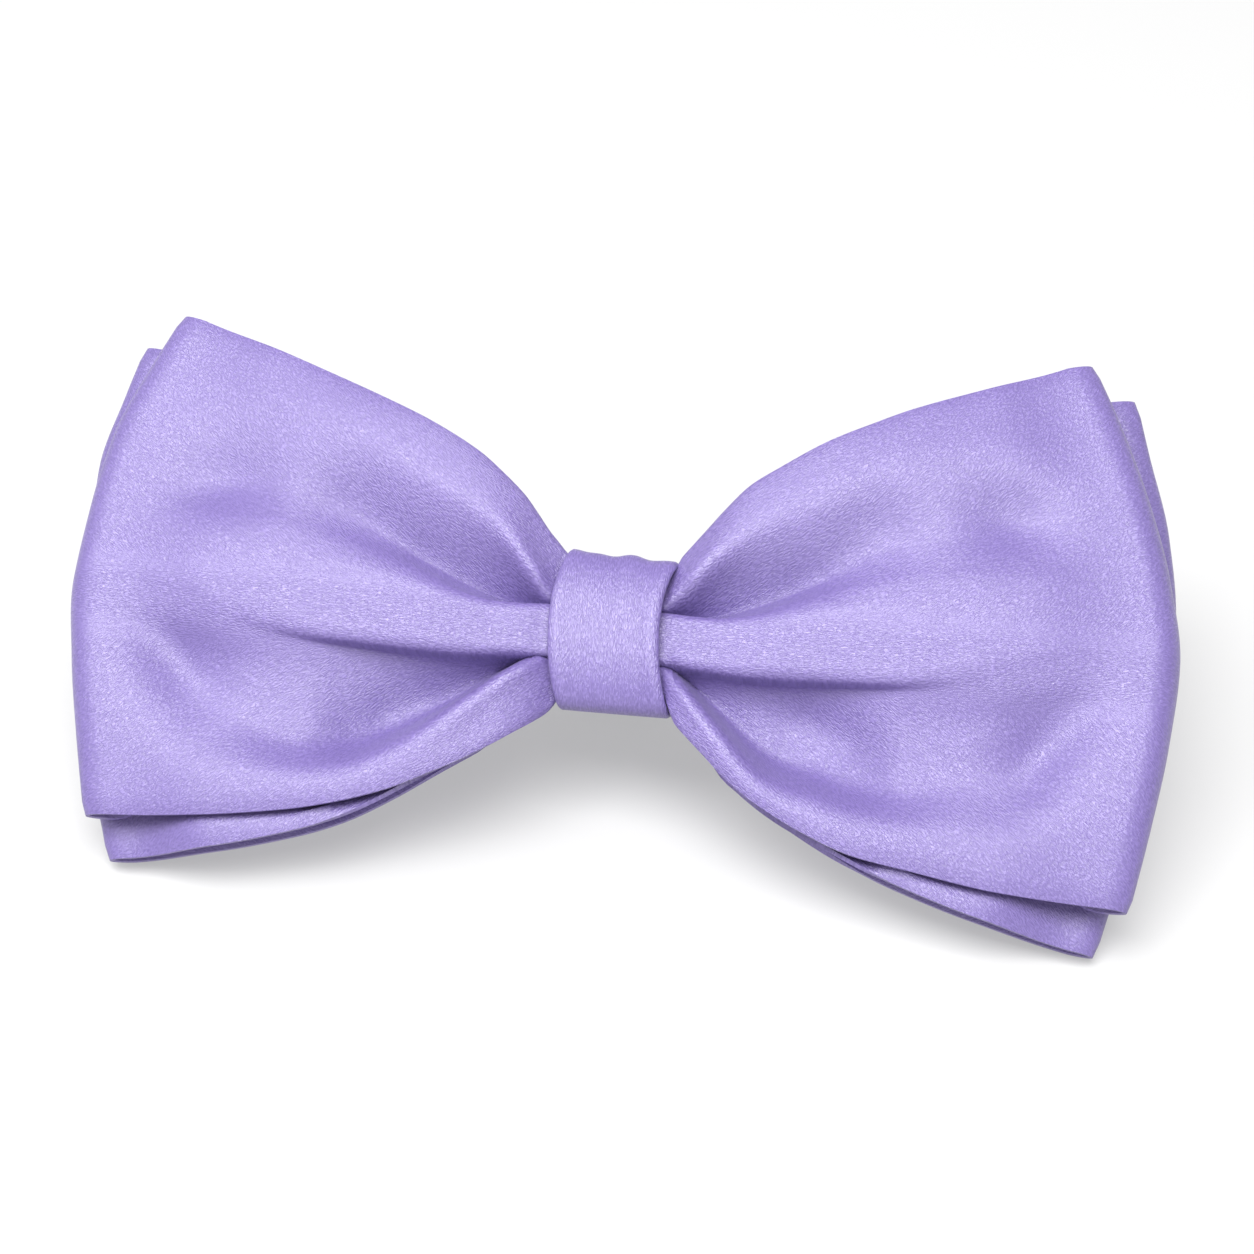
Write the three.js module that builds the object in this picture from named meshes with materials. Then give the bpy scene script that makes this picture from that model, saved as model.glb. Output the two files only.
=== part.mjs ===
// A pre-tied double bow tie in satin, leaning back on its two lower rear corners and on its collar clip.
// Millimetres, +Z up, +X along the bow, the front faces -Y and looks upward.
// The cloth is laid out upright first: "across" runs along the bow, "up" is its height above the middle of
// the knot and "out" is how far a point stands towards the wearer's front. The whole tie is tipped back last.

import * as THREE from "three";
import { mergeVertices } from "three/addons/utils/BufferGeometryUtils.js";

// Pose
const LEAN_DEG = 57; // from upright, tipped backward

// Cloth
const CLOTH_THICKNESS = 1.0;

// How the height of a panel is divided into strips: closest together beside the raised pleat
const STRIP_EDGES = [0, 0.1, 0.19, 0.27, 0.36, 0.47, 0.61, 0.8, 1];

// How each wing is divided from the middle of the knot to its outer fold
const WING_STATIONS = [0, 0.06, 0.103, 0.12, 0.133, 0.15, 0.18, 0.225, 0.29, 0.38, 0.5, 0.63, 0.77, 0.9, 1];
const WING_LENGTH = 57;
const FOLD_STEPS = 4;

// Front bow: height of the top and bottom edge above the knot's middle, from the knot (at 0) to the corner
// (at 1)
const FRONT_EDGES = [
  { at: 0.0, leftTop: 7.9, leftBottom: -5.2, rightTop: 7.9, rightBottom: -5.2 },
  { at: 0.103, leftTop: 8.0, leftBottom: -5.4, rightTop: 7.9, rightBottom: -5.2 },
  { at: 0.12, leftTop: 9.8, leftBottom: -9.0, rightTop: 8.0, rightBottom: -5.2 },
  { at: 0.133, leftTop: 10.7, leftBottom: -9.7, rightTop: 9.9, rightBottom: -5.4 },
  { at: 0.15, leftTop: 12.1, leftBottom: -10.9, rightTop: 11.8, rightBottom: -9.6 },
  { at: 0.2, leftTop: 15.3, leftBottom: -13.1, rightTop: 15.2, rightBottom: -12.4 },
  { at: 0.3, leftTop: 19.6, leftBottom: -16.6, rightTop: 20.3, rightBottom: -17.0 },
  { at: 0.4, leftTop: 22.5, leftBottom: -19.3, rightTop: 23.7, rightBottom: -19.9 },
  { at: 0.5, leftTop: 24.7, leftBottom: -21.1, rightTop: 26.3, rightBottom: -21.9 },
  { at: 0.6, leftTop: 26.7, leftBottom: -22.3, rightTop: 28.6, rightBottom: -22.8 },
  { at: 0.8, leftTop: 30.4, leftBottom: -23.7, rightTop: 32.1, rightBottom: -24.3 },
  { at: 1.0, leftTop: 33.5, leftBottom: -24.2, rightTop: 35.3, rightBottom: -24.6 },
];

// Rear bow: the same for the second loop, which hangs lower
const REAR_EDGES = [
  { at: 0.0, leftTop: 6.2, leftBottom: -3.2, rightTop: 6.2, rightBottom: -3.2 },
  { at: 0.103, leftTop: 6.3, leftBottom: -3.4, rightTop: 6.2, rightBottom: -3.2 },
  { at: 0.12, leftTop: 6.9, leftBottom: -6.9, rightTop: 6.2, rightBottom: -3.2 },
  { at: 0.133, leftTop: 7.6, leftBottom: -7.7, rightTop: 6.4, rightBottom: -3.3 },
  { at: 0.15, leftTop: 9.7, leftBottom: -8.9, rightTop: 9.5, rightBottom: -8.5 },
  { at: 0.2, leftTop: 13.8, leftBottom: -11.4, rightTop: 13.6, rightBottom: -11.5 },
  { at: 0.3, leftTop: 18.8, leftBottom: -15.6, rightTop: 18.9, rightBottom: -16.0 },
  { at: 0.4, leftTop: 22.0, leftBottom: -19.4, rightTop: 22.9, rightBottom: -19.3 },
  { at: 0.5, leftTop: 24.6, leftBottom: -22.4, rightTop: 25.9, rightBottom: -22.0 },
  { at: 0.6, leftTop: 26.8, leftBottom: -24.3, rightTop: 28.4, rightBottom: -24.1 },
  { at: 0.8, leftTop: 30.4, leftBottom: -26.8, rightTop: 32.1, rightBottom: -27.0 },
  { at: 1.0, leftTop: 32.7, leftBottom: -28.2, rightTop: 34.8, rightBottom: -29.0 },
];

// How far out the folds stand, and how deep their middle lies, from the bottom corner (height -1) to the top
// corner (height 1). At the bottom all the cloth lies close together.
const FRONT_REACH = [
  { height: -1.0, left: 53.8, right: 56.0, middle: 3.75 },
  { height: -0.7, left: 56.1, right: 57.8, middle: 3.6 },
  { height: -0.4, left: 58.2, right: 59.3, middle: 3.2 },
  { height: -0.1, left: 59.6, right: 60.1, middle: 2.75 },
  { height: 0.2, left: 59.2, right: 58.7, middle: 2.5 },
  { height: 0.5, left: 58.0, right: 56.0, middle: 2.4 },
  { height: 0.8, left: 54.9, right: 52.3, middle: 2.4 },
  { height: 1.0, left: 52.5, right: 49.4, middle: 2.4 },
];
const REAR_REACH = [
  { height: -1.0, left: 52.4, right: 53.2, middle: 0.3 },
  { height: -0.85, left: 53.9, right: 54.4, middle: -0.1 },
  { height: -0.7, left: 55.2, right: 55.6, middle: -0.9 },
  { height: -0.4, left: 57.4, right: 57.6, middle: -2.3 },
  { height: -0.1, left: 59.2, right: 59.2, middle: -3.3 },
  { height: 0.2, left: 60.6, right: 60.2, middle: -3.8 },
  { height: 0.5, left: 61.2, right: 59.1, middle: -4.0 },
  { height: 0.8, left: 59.6, right: 56.5, middle: -4.0 },
  { height: 1.0, left: 58.3, right: 54.8, middle: -4.0 },
];

// The raised pleat along the middle of the front panel: heights of its two edges and depth of its crest, at a
// distance from the knot's middle
const PLEAT = [
  { away: 0, lowEdge: -1.8, topEdge: 2.2, crest: 4.9 },
  { away: 7, lowEdge: -1.8, topEdge: 2.2, crest: 4.9 },
  { away: 12, lowEdge: -2.6, topEdge: 2.3, crest: 5.6 },
  { away: 19, lowEdge: -3.1, topEdge: 3.7, crest: 6.3 },
  { away: 30, lowEdge: -2.8, topEdge: 6.2, crest: 6.9 },
  { away: 41, lowEdge: -0.7, topEdge: 7.6, crest: 6.9 },
  { away: 57, lowEdge: 3.0, topEdge: 9.0, crest: 5.6 },
];

// The cloth over and under the pleat: height and depth of the valley beside it and of the swelling beyond
// that, and depth of the rim
const OVER_PLEAT = [
  { away: 0, valleyAt: 4.4, valley: 2.0, swellAt: 6.2, swell: 2.7, rim: 2.6 },
  { away: 7, valleyAt: 4.4, valley: 2.0, swellAt: 6.4, swell: 3.2, rim: 3.2 },
  { away: 9, valleyAt: 4.5, valley: 1.9, swellAt: 8.0, swell: 4.6, rim: 4.0 },
  { away: 12, valleyAt: 4.9, valley: 1.9, swellAt: 10.2, swell: 5.7, rim: 4.7 },
  { away: 20, valleyAt: 7.4, valley: 3.3, swellAt: 15.2, swell: 6.6, rim: 5.6 },
  { away: 30, valleyAt: 12.0, valley: 5.2, swellAt: 20.0, swell: 6.7, rim: 5.9 },
  { away: 38, valleyAt: 13.5, valley: 5.8, swellAt: 21.5, swell: 6.6, rim: 5.9 },
  { away: 57, valleyAt: 14.0, valley: 5.2, swellAt: 24.0, swell: 5.2, rim: 4.4 },
];
const UNDER_PLEAT = [
  { away: 0, valleyAt: -3.3, valley: 2.0, swellAt: -4.4, swell: 2.6, rim: 2.6 },
  { away: 7, valleyAt: -3.3, valley: 2.0, swellAt: -4.5, swell: 3.0, rim: 3.2 },
  { away: 9, valleyAt: -3.7, valley: 1.9, swellAt: -6.4, swell: 4.8, rim: 4.6 },
  { away: 13, valleyAt: -5.8, valley: 1.9, swellAt: -9.0, swell: 6.1, rim: 5.9 },
  { away: 19, valleyAt: -9.4, valley: 2.8, swellAt: -14.0, swell: 6.5, rim: 6.4 },
  { away: 27, valleyAt: -12.6, valley: 4.2, swellAt: -17.5, swell: 6.4, rim: 6.4 },
  { away: 42, valleyAt: -11.0, valley: 5.1, swellAt: -19.0, swell: 6.1, rim: 6.1 },
  { away: 57, valleyAt: -8.0, valley: 4.6, swellAt: -19.5, swell: 4.9, rim: 4.9 },
];

// Dents pressed into the front panel: distance across from the knot, height, depth and size
const FRONT_DENTS = [
  { side: -1, across: 46, up: 11, deep: 0.8, wide: 7, tall: 4 },
  { side: -1, across: 29, up: 10.5, deep: 0.7, wide: 8, tall: 4 },
  { side: -1, across: 50, up: -5.5, deep: 0.9, wide: 7, tall: 4 },
  { side: -1, across: 27, up: -13, deep: 0.8, wide: 5, tall: 6 },
  { side: 1, across: 27, up: 13, deep: 0.7, wide: 8, tall: 4 },
  { side: 1, across: 42.5, up: 18, deep: 0.8, wide: 6, tall: 4 },
  { side: 1, across: 51, up: -5, deep: 0.9, wide: 7, tall: 4 },
  { side: 1, across: 31, up: -15.5, deep: 0.8, wide: 5, tall: 6 },
];

// Depths of the plainer panels, from the knot to the fold
const PLAIN_DEPTHS = [
  { at: 0.0, frontBack: 0.4, rearBack: -2.4 },
  { at: 0.133, frontBack: 0.4, rearBack: -2.4 },
  { at: 0.15, frontBack: 0.4, rearBack: -3.2 },
  { at: 0.2, frontBack: 0.5, rearBack: -4.6 },
  { at: 0.3, frontBack: 0.9, rearBack: -5.4 },
  { at: 0.5, frontBack: 1.3, rearBack: -6.2 },
  { at: 0.7, frontBack: 0.8, rearBack: -6.4 },
  { at: 1.0, frontBack: -0.2, rearBack: -6.2 },
];
const PANEL_GAP = 1.5; // least distance between the middles of two layers of cloth

// Towards the bottom the plainer panels close onto the front rim, beginning at these heights. Where they
// slope most the layers stand a little further apart.
const CLOSING = { frontFrom: 0.4, rearFrom: 0.1, to: 1, rearBackGap: 4.35, slopeGap: 1.6 };

// Outer folds: half the depth of the turn at the corners and half way up, and how far the turn reaches back
const FRONT_FOLD = { halfAtCorner: 1.15, halfAtMiddle: 2.65, reach: 2.6 };
const REAR_FOLD = { halfAtCorner: 0.9, halfAtMiddle: 2.2, reach: 2.3 };
const FOLD_BLEND_FROM = 0.78;

// Knot band: a strip of cloth wrapped round the gathered middle, round at the front and square at the back
const BAND = {
  middleUp: 1.55,
  middleOut: 1.3,
  halfHeight: 8.4,
  halfDepth: 5.3,
  halfWidth: 6.0,
  frontSquareness: 2.3,
  backSquareness: 5,
  setRight: 0.85, // its ends sit this much to the right
  slant: 0.3, // and the top leans this much to the left
  bowed: 1.55, // the middle of its front is bowed this much to the left
};
const BAND_ROUND_STEPS = 48;
const BAND_ACROSS_STEPS = 6;

// Collar clip: a springy metal strip bent over at the top, whose tongue spreads away from the plate
const CLIP = {
  width: 11,
  thickness: 0.8,
  plateOut: -5.25,
  plateBottom: -3,
  plateLength: 11,
  topBendDeg: 124,
  topBendRadius: 2.6,
  lipBendDeg: 100,
  lipRadius: 1.8,
  bendSteps: 10,
};

const CLOTH_COLOUR = "#a898e4";
const BAND_COLOUR = "#a596e2";
const METAL_COLOUR = "#b9bcc2";

/** Smooth curve through the rows of a table that never overshoots them. */
function alongRows(rows, place, value, at) {
  const count = rows.length;
  if (at <= rows[0][place]) {
    return rows[0][value];
  }
  if (at >= rows[count - 1][place]) {
    return rows[count - 1][value];
  }
  let i = 0;
  while (at > rows[i + 1][place]) {
    i += 1;
  }
  const slope = (k) => (rows[k + 1][value] - rows[k][value]) / (rows[k + 1][place] - rows[k][place]);
  const tangent = (k) => {
    if (k === 0) {
      return slope(0);
    }
    if (k === count - 1) {
      return slope(count - 2);
    }
    const before = slope(k - 1);
    const after = slope(k);
    return before * after <= 0 ? 0 : (2 * before * after) / (before + after);
  };
  const span = rows[i + 1][place] - rows[i][place];
  const t = (at - rows[i][place]) / span;
  const startPart = (1 + 2 * t) * (1 - t) * (1 - t);
  const endPart = t * t * (3 - 2 * t);
  const startTurn = t * (1 - t) * (1 - t) * span * tangent(i);
  const endTurn = t * t * (t - 1) * span * tangent(i + 1);
  return startPart * rows[i][value] + endPart * rows[i + 1][value] + startTurn + endTurn;
}

/** 0 before the start, 1 after the end, and an easy rise between them. */
function easedRise(start, end, at) {
  const t = Math.min(1, Math.max(0, (at - start) / (end - start)));
  return t * t * (3 - 2 * t);
}

/** Height in millimetres of a point of a wing, where height runs from -1 (bottom edge) to 1 (top edge). */
function wingHeight(edges, side, at, height) {
  const top = alongRows(edges, "at", side < 0 ? "leftTop" : "rightTop", at);
  const bottom = alongRows(edges, "at", side < 0 ? "leftBottom" : "rightBottom", at);
  return (top + bottom) / 2 + (height * (top - bottom)) / 2;
}

/** Distance across for a station: straight columns near the knot, following the fold's curve further out. */
function acrossAt(at, end) {
  return at * WING_LENGTH + (end - WING_LENGTH) * at * at;
}

/** How far out the fold stands at a height. */
function foldReach(reach, side, height) {
  return alongRows(reach, "height", side < 0 ? "left" : "right", height);
}

/** Depth of the middle of an outer fold at a height. */
function foldMiddle(reach, height) {
  return alongRows(reach, "height", "middle", height);
}

/** Half the depth of an outer fold: flat at the corners, rounder half way up. */
function foldHalfDepth(fold, height) {
  return fold.halfAtCorner + (fold.halfAtMiddle - fold.halfAtCorner) * (1 - height * height);
}

/** Heights and depths of the front panel over or under its pleat, a row each, from the pleat's middle out. */
function halfSection(away, rimAt, slope) {
  const part = (name) => alongRows(slope, "away", name, away);
  const low = alongRows(PLEAT, "away", "lowEdge", away);
  const top = alongRows(PLEAT, "away", "topEdge", away);
  const crest = alongRows(PLEAT, "away", "crest", away);
  const middle = (low + top) / 2;
  const edge = (slope === OVER_PLEAT ? top : low) - middle;
  const valleyAt = part("valleyAt") - middle;
  const swellAt = part("swellAt") - middle;
  const rim = rimAt - middle;
  const valley = part("valley");
  const swell = part("swell");
  const drop = crest - valley;
  return [
    { up: middle, out: crest },
    { up: middle + 0.6 * edge, out: crest - 0.04 * drop },
    { up: middle + edge, out: crest - 0.2 * drop },
    { up: middle + edge + 0.5 * (valleyAt - edge), out: crest - 0.7 * drop },
    { up: middle + valleyAt, out: valley },
    { up: middle + valleyAt + 0.45 * (swellAt - valleyAt), out: valley + 0.5 * (swell - valley) },
    { up: middle + swellAt, out: swell },
    { up: middle + swellAt + 0.5 * (rim - swellAt), out: swell + 0.35 * (part("rim") - swell) },
    { up: middle + rim, out: part("rim") },
  ];
}

/** Depth of the dents at a point of the front panel. */
function dentDepth(side, across, up) {
  return FRONT_DENTS.filter((dent) => dent.side === side).reduce((sum, dent) => {
    const sideways = (across - dent.across) / dent.wide;
    const upward = (up - dent.up) / dent.tall;
    return sum + dent.deep * Math.exp(-sideways * sideways - upward * upward);
  }, 0);
}

/** A point of the middle of the cloth as a vector in the upright layout. */
function clothPoint(across, up, out) {
  return new THREE.Vector3(across, -out, up);
}

/** How far a plainer panel has closed onto the rim, from 0 to 1 at the bottom edge. It doesn't at the knot. */
function closingPart(from, at, height) {
  return easedRise(from, CLOSING.to, -height) * easedRise(0.133, 0.18, at);
}

/** Depth of the front bow's front panel at a height in millimetres. */
function frontDepthAt(side, at, up) {
  const top = wingHeight(FRONT_EDGES, side, at, 1);
  const bottom = wingHeight(FRONT_EDGES, side, at, -1);
  const over = halfSection(at * WING_LENGTH, top, OVER_PLEAT);
  const under = halfSection(at * WING_LENGTH, bottom, UNDER_PLEAT);
  const smooth = alongRows([...under.slice(1).reverse(), ...over], "up", "out", up);
  return smooth - dentDepth(side, at * WING_LENGTH, up);
}

/** Depth of the front bow's back panel: nearly flat, closing onto the front rim at the bottom. */
function frontBackDepth(side, at, height) {
  const flat = alongRows(PLAIN_DEPTHS, "at", "frontBack", at);
  const rim = alongRows(UNDER_PLEAT, "away", "rim", at * WING_LENGTH) - PANEL_GAP;
  const loose = flat + (rim - flat) * closingPart(CLOSING.frontFrom, at, height);
  const up = wingHeight(FRONT_EDGES, side, at, height);
  return Math.min(loose, frontDepthAt(side, at, up) - PANEL_GAP);
}

/** Depth of the rear bow's front panel, which follows the back of the bow before it. */
function rearFrontDepth(side, at, height) {
  const top = wingHeight(FRONT_EDGES, side, at, 1);
  const bottom = wingHeight(FRONT_EDGES, side, at, -1);
  const up = wingHeight(REAR_EDGES, side, at, height);
  const covered = Math.min(1, Math.max(-1, (2 * up - top - bottom) / (top - bottom)));
  const closed = closingPart(CLOSING.frontFrom, at, covered);
  return frontBackDepth(side, at, covered) - PANEL_GAP - CLOSING.slopeGap * 4 * closed * (1 - closed);
}

/** Depth of the rear bow's back panel. */
function rearBackDepth(side, at, height) {
  const flat = alongRows(PLAIN_DEPTHS, "at", "rearBack", at);
  const rim = alongRows(UNDER_PLEAT, "away", "rim", at * WING_LENGTH) - CLOSING.rearBackGap;
  const closed = closingPart(CLOSING.rearFrom, at, height);
  const loose = flat + (rim - flat) * closed;
  const gap = PANEL_GAP + CLOSING.slopeGap * 4 * closed * (1 - closed);
  return Math.min(loose, rearFrontDepth(side, at, height) - gap);
}

/** The middle of the cloth of one bow: columns round the loop, each a list of points from bottom to top. */
function bowSheet(edges, reach, fold, frontColumn, backDepth) {
  const heights = [...STRIP_EDGES.slice(1).reverse().map((edge) => -edge), ...STRIP_EDGES];
  const panelPoint = (side, at, height, panel, row) => {
    const across = acrossAt(at, foldReach(reach, side, height) - fold.reach);
    const even = wingHeight(edges, side, at, height);
    const loose =
      panel > 0 ? frontColumn(side, at, height, across, row) : { up: even, out: backDepth(side, at, height) };
    const atFold = foldMiddle(reach, height) + panel * foldHalfDepth(fold, height);
    const turned = easedRise(FOLD_BLEND_FROM, 1, at);
    const up = loose.up + (even - loose.up) * turned;
    const out = loose.out + (atFold - loose.out) * turned;
    return clothPoint(side * across, up, out);
  };
  const foldPoint = (side, turn, height) => {
    const across = foldReach(reach, side, height) - fold.reach * (1 - Math.cos(turn));
    const out = foldMiddle(reach, height) + foldHalfDepth(fold, height) * Math.sin(turn);
    return clothPoint(side * across, wingHeight(edges, side, 1, height), out);
  };
  const halfLoop = (side) => {
    const columns = [];
    WING_STATIONS.forEach((at) => {
      columns.push(heights.map((height, row) => panelPoint(side, at, height, 1, row)));
    });
    for (let step = 1; step < FOLD_STEPS; step += 1) {
      const turn = Math.PI / 2 - (Math.PI * step) / FOLD_STEPS;
      columns.push(heights.map((height) => foldPoint(side, turn, height)));
    }
    [...WING_STATIONS].reverse().forEach((at) => {
      columns.push(heights.map((height, row) => panelPoint(side, at, height, -1, row)));
    });
    return columns;
  };
  const right = halfLoop(1);
  const left = halfLoop(-1).reverse();
  return [...right, ...left.slice(1, -1)];
}

/** A closed ring of cloth with a thickness, from its middle surface given as columns round the ring. */
function thickRing(columns, thickness) {
  const around = columns.length;
  const rows = columns[0].length;
  const normals = columns.map((column, i) =>
    column.map((point, j) => {
      const next = columns[(i + 1) % around][j];
      const previous = columns[(i + around - 1) % around][j];
      const above = column[Math.min(rows - 1, j + 1)];
      const below = column[Math.max(0, j - 1)];
      const roundRing = next.clone().sub(previous);
      const upRing = above.clone().sub(below);
      return roundRing.cross(upRing).normalize();
    }),
  );
  const positions = [];
  [0.5, -0.5].forEach((part) => {
    columns.forEach((column, i) => {
      column.forEach((point, j) => {
        const shifted = point.clone().addScaledVector(normals[i][j], part * thickness);
        positions.push(shifted.x, shifted.y, shifted.z);
      });
    });
  });
  const outer = (i, j) => (i % around) * rows + j;
  const inner = (i, j) => around * rows + outer(i, j);
  const faces = [];
  const addQuad = (a, b, c, d) => {
    faces.push(a, b, c, a, c, d);
  };
  for (let i = 0; i < around; i += 1) {
    for (let j = 0; j < rows - 1; j += 1) {
      addQuad(outer(i, j), outer(i + 1, j), outer(i + 1, j + 1), outer(i, j + 1));
      addQuad(inner(i, j), inner(i, j + 1), inner(i + 1, j + 1), inner(i + 1, j));
    }
    addQuad(outer(i, 0), inner(i, 0), inner(i + 1, 0), outer(i + 1, 0));
    addQuad(outer(i, rows - 1), outer(i + 1, rows - 1), inner(i + 1, rows - 1), inner(i, rows - 1));
  }
  const geometry = new THREE.BufferGeometry();
  geometry.setAttribute("position", new THREE.Float32BufferAttribute(positions, 3));
  geometry.setIndex(faces);
  return geometry;
}

/** Front bow: the loop of cloth with the raised pleat. */
function frontBow() {
  const frontColumn = (side, at, height, across, row) => {
    const away = at * WING_LENGTH;
    const upper = row >= STRIP_EDGES.length - 1;
    const rimAt = wingHeight(FRONT_EDGES, side, at, upper ? 1 : -1);
    const section = halfSection(away, rimAt, upper ? OVER_PLEAT : UNDER_PLEAT);
    const { up, out } = section[Math.abs(row - STRIP_EDGES.length + 1)];
    return { up, out: out - dentDepth(side, across, up) };
  };
  const sheet = bowSheet(FRONT_EDGES, FRONT_REACH, FRONT_FOLD, frontColumn, frontBackDepth);
  return thickRing(sheet, CLOTH_THICKNESS);
}

/** Rear bow: the plainer loop behind the front one. */
function rearBow() {
  const frontColumn = (side, at, height) => ({
    up: wingHeight(REAR_EDGES, side, at, height),
    out: rearFrontDepth(side, at, height),
  });
  const sheet = bowSheet(REAR_EDGES, REAR_REACH, REAR_FOLD, frontColumn, rearBackDepth);
  return thickRing(sheet, CLOTH_THICKNESS);
}

/** Knot band: a ring round both bows, round at the front and square at the back, bowed to the left. */
function knotBand() {
  const columns = [];
  const rounded = (value, squareness) => Math.sign(value) * Math.abs(value) ** (2 / squareness);
  for (let i = 0; i < BAND_ROUND_STEPS; i += 1) {
    const turn = (2 * Math.PI * i) / BAND_ROUND_STEPS;
    const squareness = Math.sin(turn) > 0 ? BAND.frontSquareness : BAND.backSquareness;
    const height = rounded(Math.cos(turn), squareness);
    const depth = rounded(Math.sin(turn), squareness);
    const bow = BAND.bowed * (1 - height * height) * Math.min(1, Math.max(0, depth * 1.6));
    const middle = BAND.setRight - BAND.slant * height - bow;
    const column = [];
    for (let j = 0; j <= BAND_ACROSS_STEPS; j += 1) {
      const part = (2 * j) / BAND_ACROSS_STEPS - 1;
      const across = middle + part * BAND.halfWidth;
      const up = BAND.middleUp + BAND.halfHeight * height;
      const out = BAND.middleOut + BAND.halfDepth * depth;
      column.push(clothPoint(across, up, out));
    }
    columns.push(column);
  }
  return thickRing(columns, CLOTH_THICKNESS);
}

/** How high a point of the upright layout stands once the tie has been tipped back. */
function tippedHeight(up, out) {
  const lean = THREE.MathUtils.degToRad(LEAN_DEG);
  return up * Math.cos(lean) + out * Math.sin(lean);
}

/** Middle line of the clip's strip in the upright layout, as points with the strip's sideways direction. */
function clipLine(tableHeight) {
  const line = [];
  let up = CLIP.plateBottom;
  let out = CLIP.plateOut;
  let heading = 0; // 0 points up, and a growing angle turns the strip backward
  const note = () => {
    line.push({ up, out, sideUp: Math.sin(heading), sideOut: Math.cos(heading) });
  };
  const straight = (length) => {
    up += length * Math.cos(heading);
    out -= length * Math.sin(heading);
    note();
  };
  const bend = (degrees, radius) => {
    const step = THREE.MathUtils.degToRad(degrees) / CLIP.bendSteps;
    const chord = 2 * radius * Math.sin(Math.abs(step) / 2);
    for (let i = 0; i < CLIP.bendSteps; i += 1) {
      heading += step / 2;
      up += chord * Math.cos(heading);
      out -= chord * Math.sin(heading);
      heading += step / 2;
      note();
    }
  };
  note();
  straight(CLIP.plateLength);
  bend(CLIP.topBendDeg, CLIP.topBendRadius);
  // The lip turns about this centre and touches the table below it
  const centreUp = up + CLIP.lipRadius * Math.sin(heading);
  const centreOut = out + CLIP.lipRadius * Math.cos(heading);
  const lipBelow = CLIP.lipRadius + CLIP.thickness / 2;
  const drop = tippedHeight(centreUp, centreOut) - lipBelow - tableHeight;
  const fallPerLength = -tippedHeight(Math.cos(heading), -Math.sin(heading));
  straight(drop / fallPerLength);
  bend(-CLIP.lipBendDeg, CLIP.lipRadius);
  return line;
}

/** Collar clip: the bent strip, its lip reaching down to the table the bow's corners stand on. */
function collarClip(tableHeight) {
  const line = clipLine(tableHeight);
  const half = CLIP.thickness / 2;
  const front = line.map((p) => new THREE.Vector2(p.out + half * p.sideOut, p.up + half * p.sideUp));
  const back = line.map((p) => new THREE.Vector2(p.out - half * p.sideOut, p.up - half * p.sideUp));
  const strip = new THREE.Shape([...front, ...back.reverse()]);
  const geometry = new THREE.ExtrudeGeometry(strip, { depth: CLIP.width, bevelEnabled: false, steps: 1 });
  geometry.translate(0, 0, -CLIP.width / 2);
  const layout = new THREE.Matrix4().set(0, 0, -1, 0, -1, 0, 0, 0, 0, 1, 0, 0, 0, 0, 0, 1);
  geometry.applyMatrix4(layout);
  geometry.deleteAttribute("uv");
  geometry.deleteAttribute("normal");
  return mergeVertices(geometry, 1e-4);
}

/** Mesh with its own finish, tipped back. */
function finished(name, geometry, colour, roughness, metalness) {
  geometry.rotateX(-THREE.MathUtils.degToRad(LEAN_DEG));
  geometry.computeVertexNormals();
  const mesh = new THREE.Mesh(geometry, new THREE.MeshStandardMaterial({ color: colour, roughness, metalness }));
  mesh.name = name;
  return mesh;
}

/** The whole bow tie, with the middle of its footprint at the origin and its lowest point at z = 0. */
function bowTie() {
  const rear = finished("rear_bow", rearBow(), CLOTH_COLOUR, 0.5, 0);
  rear.geometry.computeBoundingBox();
  const tableHeight = rear.geometry.boundingBox.min.z;
  const tie = new THREE.Group();
  tie.name = "bow_tie";
  tie.add(finished("front_bow", frontBow(), CLOTH_COLOUR, 0.5, 0));
  tie.add(rear);
  tie.add(finished("knot_band", knotBand(), BAND_COLOUR, 0.55, 0));
  tie.add(finished("collar_clip", collarClip(tableHeight), METAL_COLOUR, 0.35, 1));
  const box = new THREE.Box3().setFromObject(tie);
  const centre = box.getCenter(new THREE.Vector3());
  tie.children.forEach((piece) => {
    piece.geometry.translate(-centre.x, -centre.y, -box.min.z);
  });
  return tie;
}

export default bowTie();
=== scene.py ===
"""A pre-tied double bow tie in lavender satin, standing on its lower rear corners and its collar clip."""

import logging
import math
from dataclasses import dataclass, fields, replace
from enum import Enum
from typing import Sequence

import bmesh
import bpy
import numpy as np
from mathutils import Matrix, Vector


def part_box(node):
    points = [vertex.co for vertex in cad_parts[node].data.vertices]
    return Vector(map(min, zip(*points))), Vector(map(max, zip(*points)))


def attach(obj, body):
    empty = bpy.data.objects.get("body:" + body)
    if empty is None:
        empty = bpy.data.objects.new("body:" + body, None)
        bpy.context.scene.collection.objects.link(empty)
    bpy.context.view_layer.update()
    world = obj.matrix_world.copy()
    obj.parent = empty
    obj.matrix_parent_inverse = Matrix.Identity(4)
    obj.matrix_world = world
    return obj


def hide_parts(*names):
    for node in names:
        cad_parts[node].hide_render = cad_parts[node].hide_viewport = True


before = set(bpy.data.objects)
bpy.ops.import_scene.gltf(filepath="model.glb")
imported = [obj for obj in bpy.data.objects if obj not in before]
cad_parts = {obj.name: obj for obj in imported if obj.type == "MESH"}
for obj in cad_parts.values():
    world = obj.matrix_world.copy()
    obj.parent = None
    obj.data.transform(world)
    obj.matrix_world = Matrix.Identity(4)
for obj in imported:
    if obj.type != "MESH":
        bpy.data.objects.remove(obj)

MM = 0.001
MERGE_MM = 0.0005
SHARP_EDGE_DEG = 55.0
log = logging.getLogger("bow_tie")


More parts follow.
